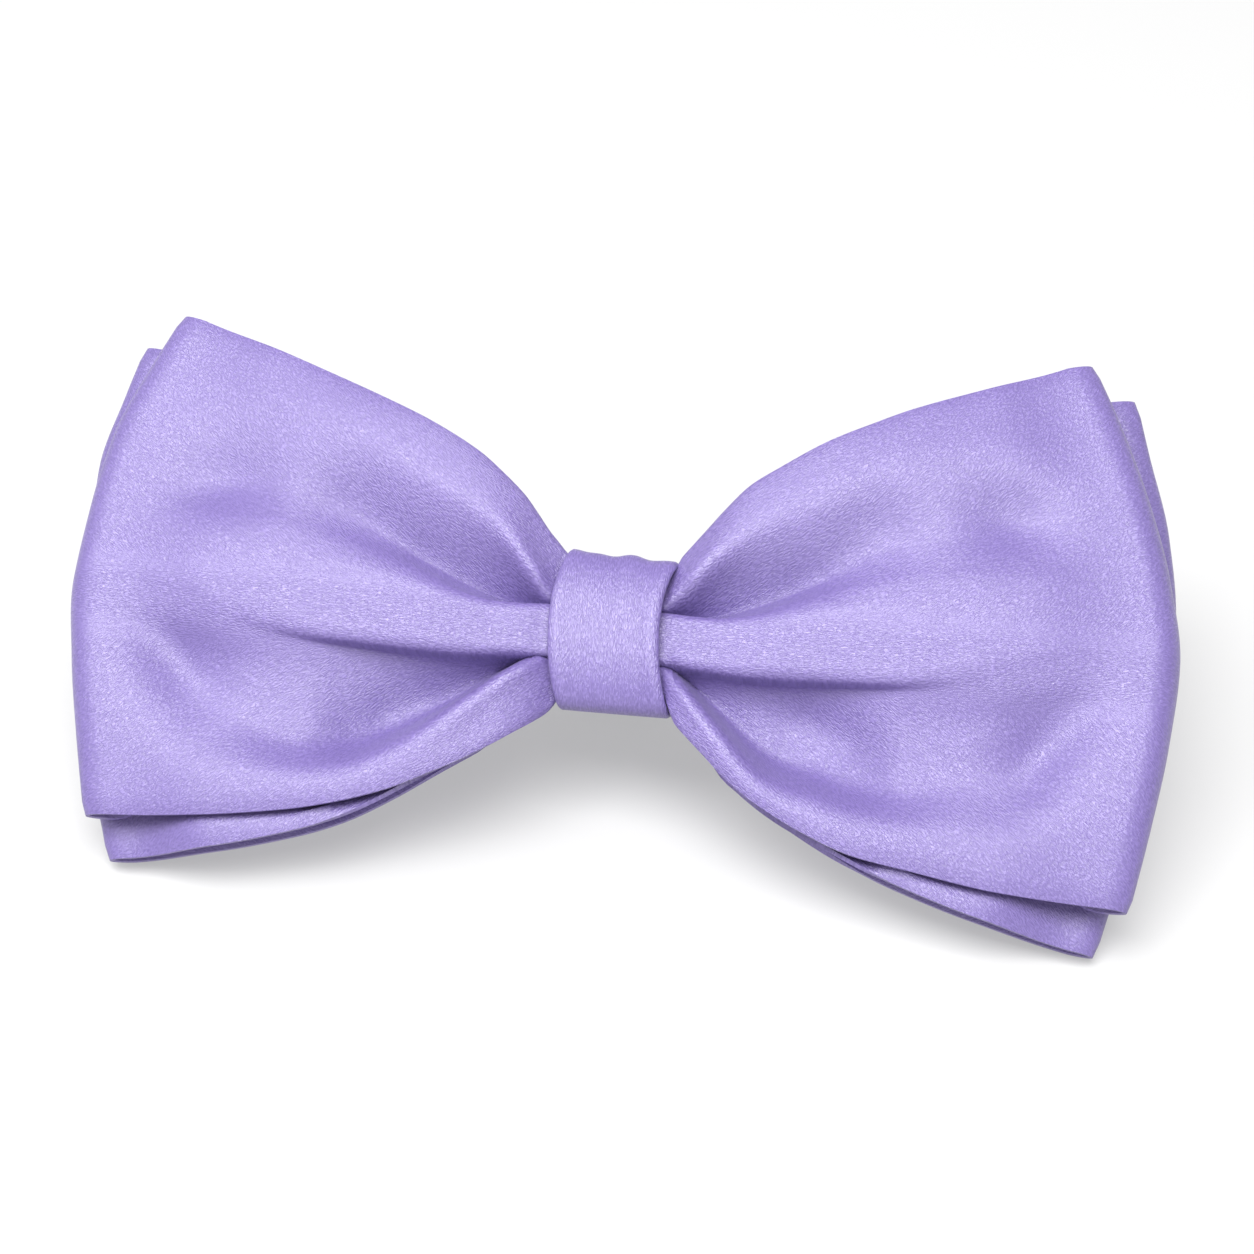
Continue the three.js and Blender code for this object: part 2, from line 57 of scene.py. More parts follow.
class Side(Enum):
    """The wing on the left or right of the picture."""

    LEFT = -1
    RIGHT = 1


class Panel(Enum):
    """The half of a loop that faces the viewer, or the one behind it."""

    FRONT = 1
    BACK = -1


class Weave(Enum):
    """Which way the satin's fine lines run: fanned over a wing, or straight down the knot's band."""

    FANNED = "fanned"
    UPRIGHT = "upright"


# Curves, tables and places

Curve = tuple[np.ndarray, np.ndarray]


def eased(start: float, end: float, at: np.ndarray | float) -> np.ndarray:
    """Gives 0 before the start, 1 after the end and an easy rise between.

    Args:
        start: Where the rise begins.
        end: Where it ends.
        at: Places to read it at.

    Returns:
        One value for each place.
    """
    t = np.clip((np.asarray(at, float) - start) / (end - start), 0.0, 1.0)
    return t * t * (3.0 - 2.0 * t)


def through(places: Sequence[float], values: Sequence[float], at: np.ndarray | float) -> np.ndarray:
    """Draws a smooth curve through points without overshooting them.

    Args:
        places: Rising places of the points.
        values: Value at each place.
        at: Places to read the curve at.

    Returns:
        The curve's value at each place.
    """
    x = np.asarray(places, float)
    y = np.asarray(values, float)
    q = np.clip(np.asarray(at, float), x[0], x[-1])
    slope = np.diff(y) / np.diff(x)
    tangent = np.zeros(len(x))
    tangent[0], tangent[-1] = slope[0], slope[-1]
    for k in range(1, len(x) - 1):
        if slope[k - 1] * slope[k] > 0:
            tangent[k] = 2.0 * slope[k - 1] * slope[k] / (slope[k - 1] + slope[k])
    i = np.clip(np.searchsorted(x, q, side="right") - 1, 0, len(x) - 2)
    span = x[i + 1] - x[i]
    t = (q - x[i]) / span
    start = (1 + 2 * t) * (1 - t) ** 2 * y[i] + t * (1 - t) ** 2 * span * tangent[i]
    end = t * t * (3 - 2 * t) * y[i + 1] + t * t * (t - 1) * span * tangent[i + 1]
    return start + end


def table(kind: type, *rows: Sequence[object]) -> tuple:
    """Makes a table of one kind of row out of plain values."""
    return tuple(kind(*row) for row in rows)


def read(rows: Sequence[object], column: str, at: np.ndarray | float) -> np.ndarray:
    """Reads a column between the rows of a table, whose first field is each row's place."""
    place = fields(rows[0])[0].name
    return through([getattr(row, place) for row in rows], [getattr(row, column) for row in rows], at)


def toward(azimuth_deg: float, elevation_deg: float) -> Vector:
    """Points from the tie to a lamp or to the camera.

    Args:
        azimuth_deg: Turn round the tie: 0 is the viewer's side and 90 the right.
        elevation_deg: Angle above the floor.

    Returns:
        A direction of length one.
    """
    turn, rise = math.radians(azimuth_deg), math.radians(elevation_deg)
    return Vector((math.sin(turn) * math.cos(rise), -math.cos(turn) * math.cos(rise), math.sin(rise)))


@dataclass(frozen=True)
class Stance:
    """How the tie stands: laid out upright round the knot's middle, then tipped back onto the table."""

    lean_deg: float
    origin: Vector

    @classmethod
    def on_band(cls, lean_deg: float, box_middle_mm: tuple[float, float, float]) -> "Stance":
        """Finds the place of the knot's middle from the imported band.

        Args:
            lean_deg: How far the tie tips back from upright.
            box_middle_mm: How far the middle of the band's box lies from the knot's middle.

        Returns:
            The stance of the whole tie.
        """
        low, high = (Vector(corner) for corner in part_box("knot_band"))
        return cls(lean_deg, (low + high) / 2.0 - Vector(box_middle_mm) * MM)

    def place(self, across: float, up: float, out: float) -> Vector:
        """Tips a point of the upright layout back onto the table.

        Args:
            across: Distance to the right of the knot's middle, in mm.
            up: Height over it, in mm.
            out: Distance in front of it, in mm.

        Returns:
            The point in metres.
        """
        lean = math.radians(self.lean_deg)
        y = up * math.sin(lean) - out * math.cos(lean)
        z = up * math.cos(lean) + out * math.sin(lean)
        return self.origin + Vector((across, y, z)) * MM


def as_object(name: str, shape: bmesh.types.BMesh, material: bpy.types.Material) -> bpy.types.Object:
    """Makes a smooth object in the scene out of a finished shape.

    Args:
        name: The object's name.
        shape: Its shape, which is used up.
        material: Its finish.

    Returns:
        The object, with its place in its mesh.
    """
    mesh = bpy.data.meshes.new(name)
    shape.to_mesh(mesh)
    shape.free()
    mesh.polygons.foreach_set("use_smooth", [True] * len(mesh.polygons))
    mesh.materials.append(material)
    made = bpy.data.objects.new(name, mesh)
    bpy.context.scene.collection.objects.link(made)
    return made


def add_wall(piece: bpy.types.Object, thickness_mm: float, edge_mm: float,
             segments: int) -> bpy.types.SolidifyModifier:
    """Gives a surface its thickness, half to each side, and rounds its cut edges.

    Args:
        piece: The object.
        thickness_mm: Thickness of its wall.
        edge_mm: Radius of its cut edges.
        segments: Faces across each rounded edge.

    Returns:
        The modifier that makes the wall.
    """
    wall = piece.modifiers.new("thickness", "SOLIDIFY")
    wall.thickness = thickness_mm * MM
    wall.offset = 0.0
    rounding = piece.modifiers.new("rounded edges", "BEVEL")
    rounding.width = edge_mm * MM
    rounding.segments = segments
    rounding.limit_method = "ANGLE"
    rounding.angle_limit = math.radians(SHARP_EDGE_DEG)
    return wall


# Finishes

Source = bpy.types.NodeSocket | bpy.types.Node


def linear(hex_colour: str) -> tuple[float, float, float, float]:
    """Turns an sRGB colour into the linear one that shaders use.

    Args:
        hex_colour: The colour as # and six hex digits.

    Returns:
        Linear red, green, blue and full alpha.
    """
    channels = [int(hex_colour.lstrip("#")[i : i + 2], 16) / 255.0 for i in (0, 2, 4)]
    curved = [c / 12.92 if c <= 0.04045 else ((c + 0.055) / 1.055) ** 2.4 for c in channels]
    return (curved[0], curved[1], curved[2], 1.0)


def add_node(tree: bpy.types.NodeTree, kind: str, inputs: dict[str | int, object] | None = None,
             **settings: object) -> bpy.types.Node:
    """Adds a node with its settings, values and links.

    Args:
        tree: The material's or world's node tree.
        kind: The node's type name without ShaderNode before it.
        inputs: A value for a socket, a socket to link to it, or a node whose first output is linked.
        settings: Properties to set on the node.

    Returns:
        The new node.
    """
    node = tree.nodes.new("ShaderNode" + kind)
    for name, value in settings.items():
        setattr(node, name, value)
    for name, value in (inputs or {}).items():
        source = value.outputs[0] if isinstance(value, bpy.types.Node) else value
        if isinstance(source, bpy.types.NodeSocket):
            tree.links.new(source, node.inputs[name])
        else:
            node.inputs[name].default_value = source
    return node


def blank_material(name: str) -> tuple[bpy.types.Material, bpy.types.NodeTree]:
    """Makes an empty node material.

    Args:
        name: The material's name.

    Returns:
        The material and its node tree.
    """
    material = bpy.data.materials.new(name)
    material.use_nodes = True
    material.node_tree.nodes.clear()
    return material, material.node_tree


@dataclass(frozen=True)
class Satin:
    """Polyester satin, woven with long floating threads."""

    # The floats lie side by side, so the eye sees a soft broad gloss over fine broken lines.
    # Real floats lie about 0.1 mm apart. They are drawn coarser, as the picture shows them.
    name: str
    weave: Weave
    # The darker colour is painted shade in the gaps between the threads, and also the darker end of the
    # random tone.
    thread_light: str = "#70619c"
    thread_dark: str = "#594b83"
    line_pitch_mm: float = 0.28
    float_mm: float = 1.1
    float_height_mm: float = 0.052
    line_slant_deg: float = 36.0
    level_until_mm: tuple[float, float] = (1.5, 6.0)
    cloud_mm: float = 9.0
    cloud_share: float = 0.3
    flecks_per_mm: float = 1.3
    fleck_share: float = 0.5
    roughness: float = 0.42
    gloss: float = 0.85
    sheen: float = 0.06

    def lines(self, tree: bpy.types.NodeTree, across: Source, along: Source, seed: float) -> bpy.types.Node:
        """Draws short wavy floats of thread, side by side.

        Args:
            tree: The node tree.
            across: Distance across the lines, in mm.
            along: Distance along them, in mm.
            seed: Moves the waviness to another place.

        Returns:
            A node whose output runs from 0 in the gaps to 1 on the threads.
        """
        fine = add_node(tree, "Math", {0: across, 1: 2.0 / self.line_pitch_mm}, operation="MULTIPLY")
        long = add_node(tree, "Math", {0: along, 1: 2.0 / self.float_mm}, operation="MULTIPLY")
        point = add_node(tree, "CombineXYZ", {"X": fine, "Y": long, "Z": seed})
        noise = add_node(tree, "TexNoise", {
            "Vector": point, "Scale": 1.0, "Detail": 1.5, "Roughness": 0.55, "Distortion": 0.5,
        })
        return add_node(tree, "MapRange", {
            "Value": noise, "From Min": 0.34, "From Max": 0.66,
        }, interpolation_type="SMOOTHSTEP")

    def thread_pattern(self, tree: bpy.types.NodeTree) -> bpy.types.Node:
        """Builds the lines of the whole piece from its cloth map, which is in millimetres.

        Args:
            tree: The node tree.

        Returns:
            A node whose output runs from 0 in the gaps to 1 on the threads.
        """
        cloth = add_node(tree, "UVMap", uv_map="cloth")
        parts = add_node(tree, "SeparateXYZ", {0: cloth})
        along, up = parts.outputs["X"], parts.outputs["Y"]
        if self.weave is Weave.UPRIGHT:
            return self.lines(tree, along, up, seed=3.0)
        far = add_node(tree, "Math", {0: along}, operation="ABSOLUTE")
        away = add_node(tree, "Math", {0: up}, operation="ABSOLUTE")
        slant = math.radians(self.line_slant_deg)
        turned = []
        for up_share, far_share in ((math.cos(slant), -math.sin(slant)), (math.sin(slant), math.cos(slant))):
            part = add_node(tree, "Math", {0: away, 1: up_share}, operation="MULTIPLY")
            turned.append(add_node(tree, "Math", {0: far, 1: far_share, 2: part}, operation="MULTIPLY_ADD"))
        fanned = self.lines(tree, turned[0], turned[1], seed=1.0)
        level = self.lines(tree, up, along, seed=2.0)
        last_level, first_fanned = self.level_until_mm
        off_pleat = add_node(tree, "MapRange", {
            "Value": away, "From Min": last_level, "From Max": first_fanned,
        }, interpolation_type="SMOOTHSTEP")
        return add_node(tree, "Mix", {0: off_pleat, 2: level, 3: fanned}, data_type="FLOAT")

    def material(self) -> bpy.types.Material:
        """Makes the satin.

        Returns:
            The material.
        """
        material, tree = blank_material(self.name)
        threads = self.thread_pattern(tree)
        cloth = add_node(tree, "UVMap", uv_map="cloth")
        clouds = add_node(tree, "TexNoise", {
            "Vector": cloth, "Scale": 1.0 / self.cloud_mm, "Detail": 3.0, "Roughness": 0.6,
        })
        flecks = add_node(tree, "TexNoise", {
            "Vector": cloth, "Scale": self.flecks_per_mm, "Detail": 2.0, "Roughness": 0.7,
        })
        uneven = add_node(tree, "Math", {
            0: flecks, 1: self.fleck_share, 2: 1.0 - self.fleck_share,
        }, operation="MULTIPLY_ADD")
        thread_share = add_node(tree, "Math", {0: threads, 1: uneven}, operation="MULTIPLY")
        # Painted shade: the gaps between the threads take the darker colour, as if shaded in the weave's
        # grooves. The clouds add random lighter and darker tone.
        light_share = add_node(tree, "Math", {
            0: clouds, 1: self.cloud_share, 2: thread_share,
        }, operation="MULTIPLY_ADD")
        colour = add_node(tree, "Mix", {
            0: light_share, 6: linear(self.thread_dark), 7: linear(self.thread_light),
        }, data_type="RGBA")
        bump = add_node(tree, "Bump", {
            "Height": threads, "Strength": 0.8, "Distance": self.float_height_mm * MM,
        })
        shader = add_node(tree, "BsdfPrincipled", {
            "Base Color": colour.outputs[2], "Roughness": self.roughness, "Normal": bump,
            "Sheen Weight": self.sheen, "Sheen Roughness": 0.45, "IOR": 1.5, "Specular IOR Level": self.gloss,
        })
        add_node(tree, "OutputMaterial", {"Surface": shader})
        return material


@dataclass(frozen=True)
class SpringSteel:
    """Nickel-plated spring steel strip."""

    # The rolled and plated strip has a soft grey gloss with fine marks along its length.
    name: str = "nickel_plated_spring_steel"
    plating: str = "#c4c6ca"
    roughness: float = 0.28
    roughness_spread: tuple[float, float] = (-0.07, 0.1)
    mark_width_mm: float = 0.3
    marks_per_metre: float = 60.0
    mark_depth_mm: float = 0.02

    def material(self) -> bpy.types.Material:
        """Makes the plated steel.

        Returns:
            The material.
        """
        material, tree = blank_material(self.name)
        place = add_node(tree, "TexCoord")
        stretched = add_node(tree, "Mapping", {
            "Vector": place.outputs["Object"],
            "Scale": (1.0 / (self.mark_width_mm * MM), self.marks_per_metre, self.marks_per_metre),
        })
        marks = add_node(tree, "TexNoise", {
            "Vector": stretched, "Scale": 1.0, "Detail": 3.0, "Roughness": 0.6,
        })
        smoother, rougher = self.roughness_spread
        rough = add_node(tree, "MapRange", {
            "Value": marks, "To Min": self.roughness + smoother, "To Max": self.roughness + rougher,
        })
        bump = add_node(tree, "Bump", {"Height": marks, "Strength": 0.1, "Distance": self.mark_depth_mm * MM})
        shader = add_node(tree, "BsdfPrincipled", {
            "Base Color": linear(self.plating), "Metallic": 1.0, "Roughness": rough, "Normal": bump,
        })
        add_node(tree, "OutputMaterial", {"Surface": shader})
        return material


@dataclass(frozen=True)
class LightTable:
    """Matt translucent sheet of a light table."""

    # It is lit from above and a little from below, so the open floor is pure white and shadows stay pale.
    name: str = "white_light_table"
    sheet: str = "#959595"
    light_from_below: float = 0.37
    grains_per_metre: float = 900.0
    grain_depth_mm: float = 0.05

    def material(self) -> bpy.types.Material:
        """Makes the lit sheet.

        Returns:
            The material.
        """
        material, tree = blank_material(self.name)
        place = add_node(tree, "TexCoord")
        grains = add_node(tree, "TexNoise", {
            "Vector": place.outputs["Object"], "Scale": self.grains_per_metre, "Detail": 2.0,
        })
        bump = add_node(tree, "Bump", {
            "Height": grains, "Strength": 0.02, "Distance": self.grain_depth_mm * MM,
        })
        shader = add_node(tree, "BsdfPrincipled", {
            "Base Color": linear(self.sheet), "Roughness": 0.9, "Normal": bump, "Specular IOR Level": 0.1,
            "Emission Color": linear("#ffffff"), "Emission Strength": self.light_from_below,
        })
        add_node(tree, "OutputMaterial", {"Surface": shader})
        return material


# Rows of the cloth's tables


@dataclass(frozen=True)
class EdgeRow:
    """Heights of a wing's top and bottom edge over the knot's middle, in mm, at a part of its length."""

    at: float
    left_top: float
    left_bottom: float
    right_top: float
    right_bottom: float


@dataclass(frozen=True)
class ReachRow:
    """How far out the folds stand and how deep their middle lies, in mm, at a height from -1 to 1."""

    height: float
    left: float
    right: float
    middle: float


@dataclass(frozen=True)
class PleatRow:
    """The raised pleat at a distance from the knot's middle: its two edges' heights and its depth, in mm."""

    across: float
    low_edge: float
    top_edge: float
    crest: float


@dataclass(frozen=True)
class SlopeRow:
    """The cloth over or under the pleat: heights and depths of its valley and swelling, in mm."""

    across: float
    valley_at: float
    valley: float
    swell_at: float
    swell: float
    rim: float


@dataclass(frozen=True)
class PleatEdge:
    """How the cloth drops from the pleat's edge.

    Attributes:
        softer_from: Distance from the knot where the edge begins to soften, in mm.
        softest_at: Distance where it is softest, in mm.
        step: Part of the whole drop that falls right at the edge.
        turn_in: Part of the whole drop that has fallen where the cloth turns into the valley.
    """

    softer_from: float
    softest_at: float
    step: float
    turn_in: float


@dataclass(frozen=True)
class Dent:
    """A soft hollow in a wing, or in the band where it has no side. Sizes are in mm."""

    side: Side | None
    across: float
    up: float
    deep: float
    wide: float
    tall: float

    def sunk(self, across: np.ndarray, up: np.ndarray) -> np.ndarray:
        """How far the cloth sinks at each point, in mm."""
        sideways, upward = (across - self.across) / self.wide, (up - self.up) / self.tall
        return self.deep * np.exp(-(sideways**2) - upward**2)


@dataclass(frozen=True)
class Crease:
    """A fold along a line of points, raised by height mm, with its half width from start to end.

    Attributes:
        first_share: Part of its height that it has at its start.
        growing: How fast it grows from there, per length of the line.
        fading: How fast it fades toward its end, per length of the line.
    """

    side: Side
    line: tuple[tuple[float, float], ...]
    height: float
    start_width: float
    end_width: float
    first_share: float = 0.35
    growing: float = 3.0
    fading: float = 2.2

    def raised(self, across: np.ndarray, up: np.ndarray) -> np.ndarray:
        """How far the crease raises the cloth at each point.

        Args:
            across: Distances from the knot's middle, in mm.
            up: Heights, in mm.

        Returns:
            Added depth in mm.
        """
        line = np.array(self.line)
        steps = np.linalg.norm(np.diff(line, axis=0), axis=1)
        total = steps.sum()
        nearest = np.full(across.shape, np.inf)
        part = np.zeros(across.shape)
        walked = 0.0
        for (x0, y0), (x1, y1), length in zip(line[:-1], line[1:], steps):
            along = np.clip(((across - x0) * (x1 - x0) + (up - y0) * (y1 - y0)) / length**2, 0.0, 1.0)
            gap = np.hypot(across - x0 - along * (x1 - x0), up - y0 - along * (y1 - y0))
            nearer = gap < nearest
            nearest = np.where(nearer, gap, nearest)
            part = np.where(nearer, (walked + along * length) / total, part)
            walked += length
        width = self.start_width + (self.end_width - self.start_width) * part
        begun = np.minimum(1.0, self.first_share + part * self.growing)
        left = np.minimum(1.0, (1.0 - part) * self.fading)
        return self.height * left * begun * np.exp(-((nearest / width) ** 2))


@dataclass(frozen=True)
class FoldTurn:
    """The turn of the cloth at a loop's outer end, in mm: half its depth, and how far it reaches back."""

    half_at_corner: float
    half_at_middle: float
    reach: float


@dataclass(frozen=True)
class PlainPanel:
    """A panel with no pleat: its depth along the wing, and how it closes onto the rim in front of it.

    Attributes:
        depths: Pairs of a part of the wing's length and the panel's depth in mm.
        rim_gap: How far its lower rim lies behind the front rim, in mm.
        close_from: Height from which it closes toward the rim.
        closed_at: Height where it has closed, measured downward.
        open_by_knot: Parts of the wing's length from which and up to which it begins to close.
    """

    depths: tuple[tuple[float, float], ...]
    rim_gap: float
    close_from: float
    closed_at: float = 0.97
    open_by_knot: tuple[float, float] = (0.131, 0.18)

    def closed(self, at: float, height: np.ndarray) -> np.ndarray:
        """How far it has closed at each height of a column, from 0 to 1."""
        return eased(-self.close_from, self.closed_at, -height) * eased(*self.open_by_knot, at)

    def depth(self, at: float, height: np.ndarray, rim: float) -> np.ndarray:
        """Depth in mm at each height of a column.

        Args:
            at: Part of the wing's length.
            height: Heights from -1 to 1.
            rim: Depth of the front rim there, in mm.

        Returns:
            Depth of each point, in mm.
        """
        places, depths = zip(*self.depths)
        flat = through(places, depths, at)
        return flat + (rim - self.rim_gap - flat) * self.closed(at, height)


@dataclass(frozen=True)
class Station:
    """A column of the loop's cloth: on a panel (turn is None) or in the outer fold."""

    side: Side
    panel: Panel
    at: float
    turn: float | None = None


# The pieces


@dataclass
class ClothPiece:
    """A strip of cloth joined into a ring, shaped from a flat grid. Sizes are in mm.

    Attributes:
        rim_share: Part of the full thickness that its cut rims have.
    """

    name: str
    stance: Stance
    thickness: float = 0.95
    rim_share: float = 0.5
    edge_round: float = 0.2

    def weave_ring(self, columns: int, rows: int, points: np.ndarray,
                   cloth_map: np.ndarray) -> bmesh.types.BMesh:
        """Lays a grid round the ring and joins its two ends.

        Args:
            columns: Steps round the ring.
            rows: Steps over the strip's width.
            points: Layout place of each column and row, in mm.
            cloth_map: Distance along and over the strip of each column and row, in mm.

        Returns:
            The joined ring as a bmesh.
        """
        ring = bmesh.new()
        bmesh.ops.create_grid(ring, x_segments=columns, y_segments=rows, size=1.0)
        ring.verts.index_update()
        places = {
            v.index: (round((v.co.x + 1.0) / 2.0 * columns), round((v.co.y + 1.0) / 2.0 * rows))
            for v in ring.verts
        }
        uv = ring.loops.layers.uv.new("cloth")
        for face in ring.faces:
            for corner in face.loops:
                corner[uv].uv = cloth_map[places[corner.vert.index]]
        for v in ring.verts:
            v.co = self.stance.place(*points[places[v.index]])
        bmesh.ops.remove_doubles(ring, verts=ring.verts[:], dist=MERGE_MM * MM)
        bmesh.ops.recalc_face_normals(ring, faces=ring.faces[:])
        return ring

    def finish_piece(self, shape: bmesh.types.BMesh, satin: Satin) -> bpy.types.Object:
        """Gives the cloth its thickness, thinner rounded rims and its finish.

        Args:
            shape: The middle surface of the cloth.
            satin: Its finish.

        Returns:
            The finished object.
        """
        full = shape.verts.layers.deform.verify()
        for v in shape.verts:
            v[full][0] = 0.0 if v.is_boundary else 1.0
        piece = as_object(self.name, shape, satin.material())
        wall = add_wall(piece, self.thickness, self.edge_round, segments=3)
        wall.use_quality_normals = True
        wall.vertex_group = piece.vertex_groups.new(name="full_thickness").name
        wall.thickness_vertex_group = self.rim_share
        return piece


@dataclass(kw_only=True)
class BowLoop(ClothPiece):
    """A flattened loop of cloth with two wings, pinched in the middle. Sizes are in mm.

    A pair named from or until holds the parts of the wing's length between which a thing grows or fades.

    Attributes:
        rims: Table that holds the front bow's lower rim.
        blend_from: Part of the wing's length from which a panel turns into the outer fold.
        edge_run: Part of the wing's length over which the edge's rise is read for the fold.
        pleat_rows: Closeness of the rows at the pleat: 1 is even, and less is closer.
        knot_columns: Closeness of the columns at the knot.
        back_raised: How far the back panel's lower rim is lifted beside the knot.
        back_shorter: How far it is lifted along the rest of the wing.
    """

    edges: tuple[EdgeRow, ...]
    reach: tuple[ReachRow, ...]
    rims: tuple[SlopeRow, ...]
    fold: FoldTurn
    back: PlainPanel
    layer_gap: float = 1.3
    wing_length: float = 57.0
    blend_from: float = 0.78
    edge_run: float = 0.04
    front_steps: int = 104
    back_steps: int = 56
    fold_steps: int = 14
    rows: int = 84
    pleat_rows: float = 0.45
    knot_columns: float = 0.62
    back_raised: float = 2.0
    raised_until: tuple[float, float] = (0.14, 0.24)
    back_shorter: float = 0.0
    shorter_until: tuple[float, float] = (0.86, 1.0)

    def heights(self) -> np.ndarray:
        """Rows over the cloth's height, from -1 to 1, closest together round the pleat."""
        even = np.linspace(-1.0, 1.0, self.rows + 1)
        return even * (self.pleat_rows + (1.0 - self.pleat_rows) * even * even)

    def panel_steps(self, count: int) -> np.ndarray:
        """Parts of the wing's length, closer together near the knot."""
        even = np.linspace(0.0, 1.0, count + 1)
        return even * (self.knot_columns + (1.0 - self.knot_columns) * even)

    def stations(self) -> list[Station]:
        """Goes once round the loop, from the middle of its back and out to the right.

        Returns:
            The columns in order, the first and last at the same place.
        """
        half = [Station(Side.RIGHT, Panel.BACK, float(a)) for a in self.panel_steps(self.back_steps)]
        turns = np.linspace(-math.pi / 2, math.pi / 2, self.fold_steps + 1)[1:-1]
        half += [Station(Side.RIGHT, Panel.FRONT, 1.0, float(turn)) for turn in turns]
        half += [Station(Side.RIGHT, Panel.FRONT, float(a)) for a in self.panel_steps(self.front_steps)[::-1]]
        return half + [replace(station, side=Side.LEFT) for station in half[-2::-1]]

    def up_at(self, side: Side, at: float, height: np.ndarray) -> np.ndarray:
        """Finds the height of the points of a column.

        Args:
            side: The wing.
            at: Part of the wing's length.
            height: Heights from the lower rim at -1 to the upper one at 1.

        Returns:
            Height of each point over the knot's middle, in mm.
        """
        top = read(self.edges, f"{side.name.lower()}_top", at)
        bottom = read(self.edges, f"{side.name.lower()}_bottom", at)
        return (top + bottom) / 2.0 + height * (top - bottom) / 2.0

    def half_depth(self, height: np.ndarray) -> np.ndarray:
        """Half the depth of the outer fold: flat at the corners and rounder half way up."""
        corner = self.fold.half_at_corner
        return corner + (self.fold.half_at_middle - corner) * (1 - height**2)

    def lower_rim(self, at: float) -> float:
        """Depth of the front bow's lower rim at a part of the wing's length, in mm."""
        return float(read(self.rims, "rim", at * self.wing_length))

    def front_shape(self, side: Side, at: float, across: np.ndarray, up: np.ndarray) -> Curve:
        """Heights and depths of a column of the front panel."""
        raise NotImplementedError

    def back_depth(self, side: Side, at: float, height: np.ndarray) -> np.ndarray:
        """Depth of a column of the back panel."""
        raise NotImplementedError

    def column(self, station: Station, height: np.ndarray) -> np.ndarray:
        """Lays out one column of the cloth.

        Args:
            station: The column's place round the loop.
            height: Its rows, from -1 to 1.

        Returns:
            Layout places (across, up, out) in mm, one row each.
        """
        side, at = station.side, station.at
        reach = read(self.reach, side.name.lower(), height)
        fold_middle = read(self.reach, "middle", height)
        up = self.up_at(side, at, height)
        if station.turn is not None:
            across = reach - self.fold.reach * (1.0 - math.cos(station.turn))
            out = fold_middle + self.half_depth(height) * math.sin(station.turn)
            rise = (up - self.up_at(side, 1.0 - self.edge_run, height)) / (self.edge_run * self.wing_length)
            up = up + rise * self.fold.reach * math.cos(station.turn)
            return np.stack([side.value * across, up, out], axis=1)
        across = at * self.wing_length + (reach - self.fold.reach - self.wing_length) * at * at
        if station.panel is Panel.FRONT:
            up, loose = self.front_shape(side, at, across, up)
        else:
            loose = self.back_depth(side, at, height)
            by_knot = self.back_raised * (1.0 - eased(*self.raised_until, at))
            by_corner = self.back_shorter * (1.0 - eased(*self.shorter_until, at))
            up = up + max(by_knot, by_corner) * ((1.0 - height) / 2.0) ** 2
        at_fold = fold_middle + station.panel.value * self.half_depth(height)
        out = loose + (at_fold - loose) * eased(self.blend_from, 1.0, at)
        return np.stack([side.value * across, up, out], axis=1)

    def cloth_run(self, station: Station) -> float:
        """Measures along the cloth from the front's middle, growing both ways.

        Args:
            station: The column's place round the loop.

        Returns:
            The distance in mm, negative on the left wing.
        """
        turn_length = math.pi * self.fold.reach
        if station.turn is not None:
            run = self.wing_length + turn_length * (0.5 - station.turn / math.pi)
        elif station.panel is Panel.FRONT:
            run = station.at * self.wing_length
        else:
            run = self.wing_length + turn_length + (1.0 - station.at) * self.wing_length
        return station.side.value * run

    def build(self, satin: Satin) -> bpy.types.Object:
        """Builds the whole loop.

        Args:
            satin: Its finish.

        Returns:
            The finished object.
        """
        height = self.heights()
        stations = self.stations()
        points = np.stack([self.column(station, height) for station in stations])
        runs = np.array([self.cloth_run(station) for station in stations])
        cloth_map = np.stack([np.broadcast_to(runs[:, None], points.shape[:2]), points[:, :, 1]], axis=2)
        ring = self.weave_ring(len(stations) - 1, self.rows, points, cloth_map)
        return self.finish_piece(ring, satin)


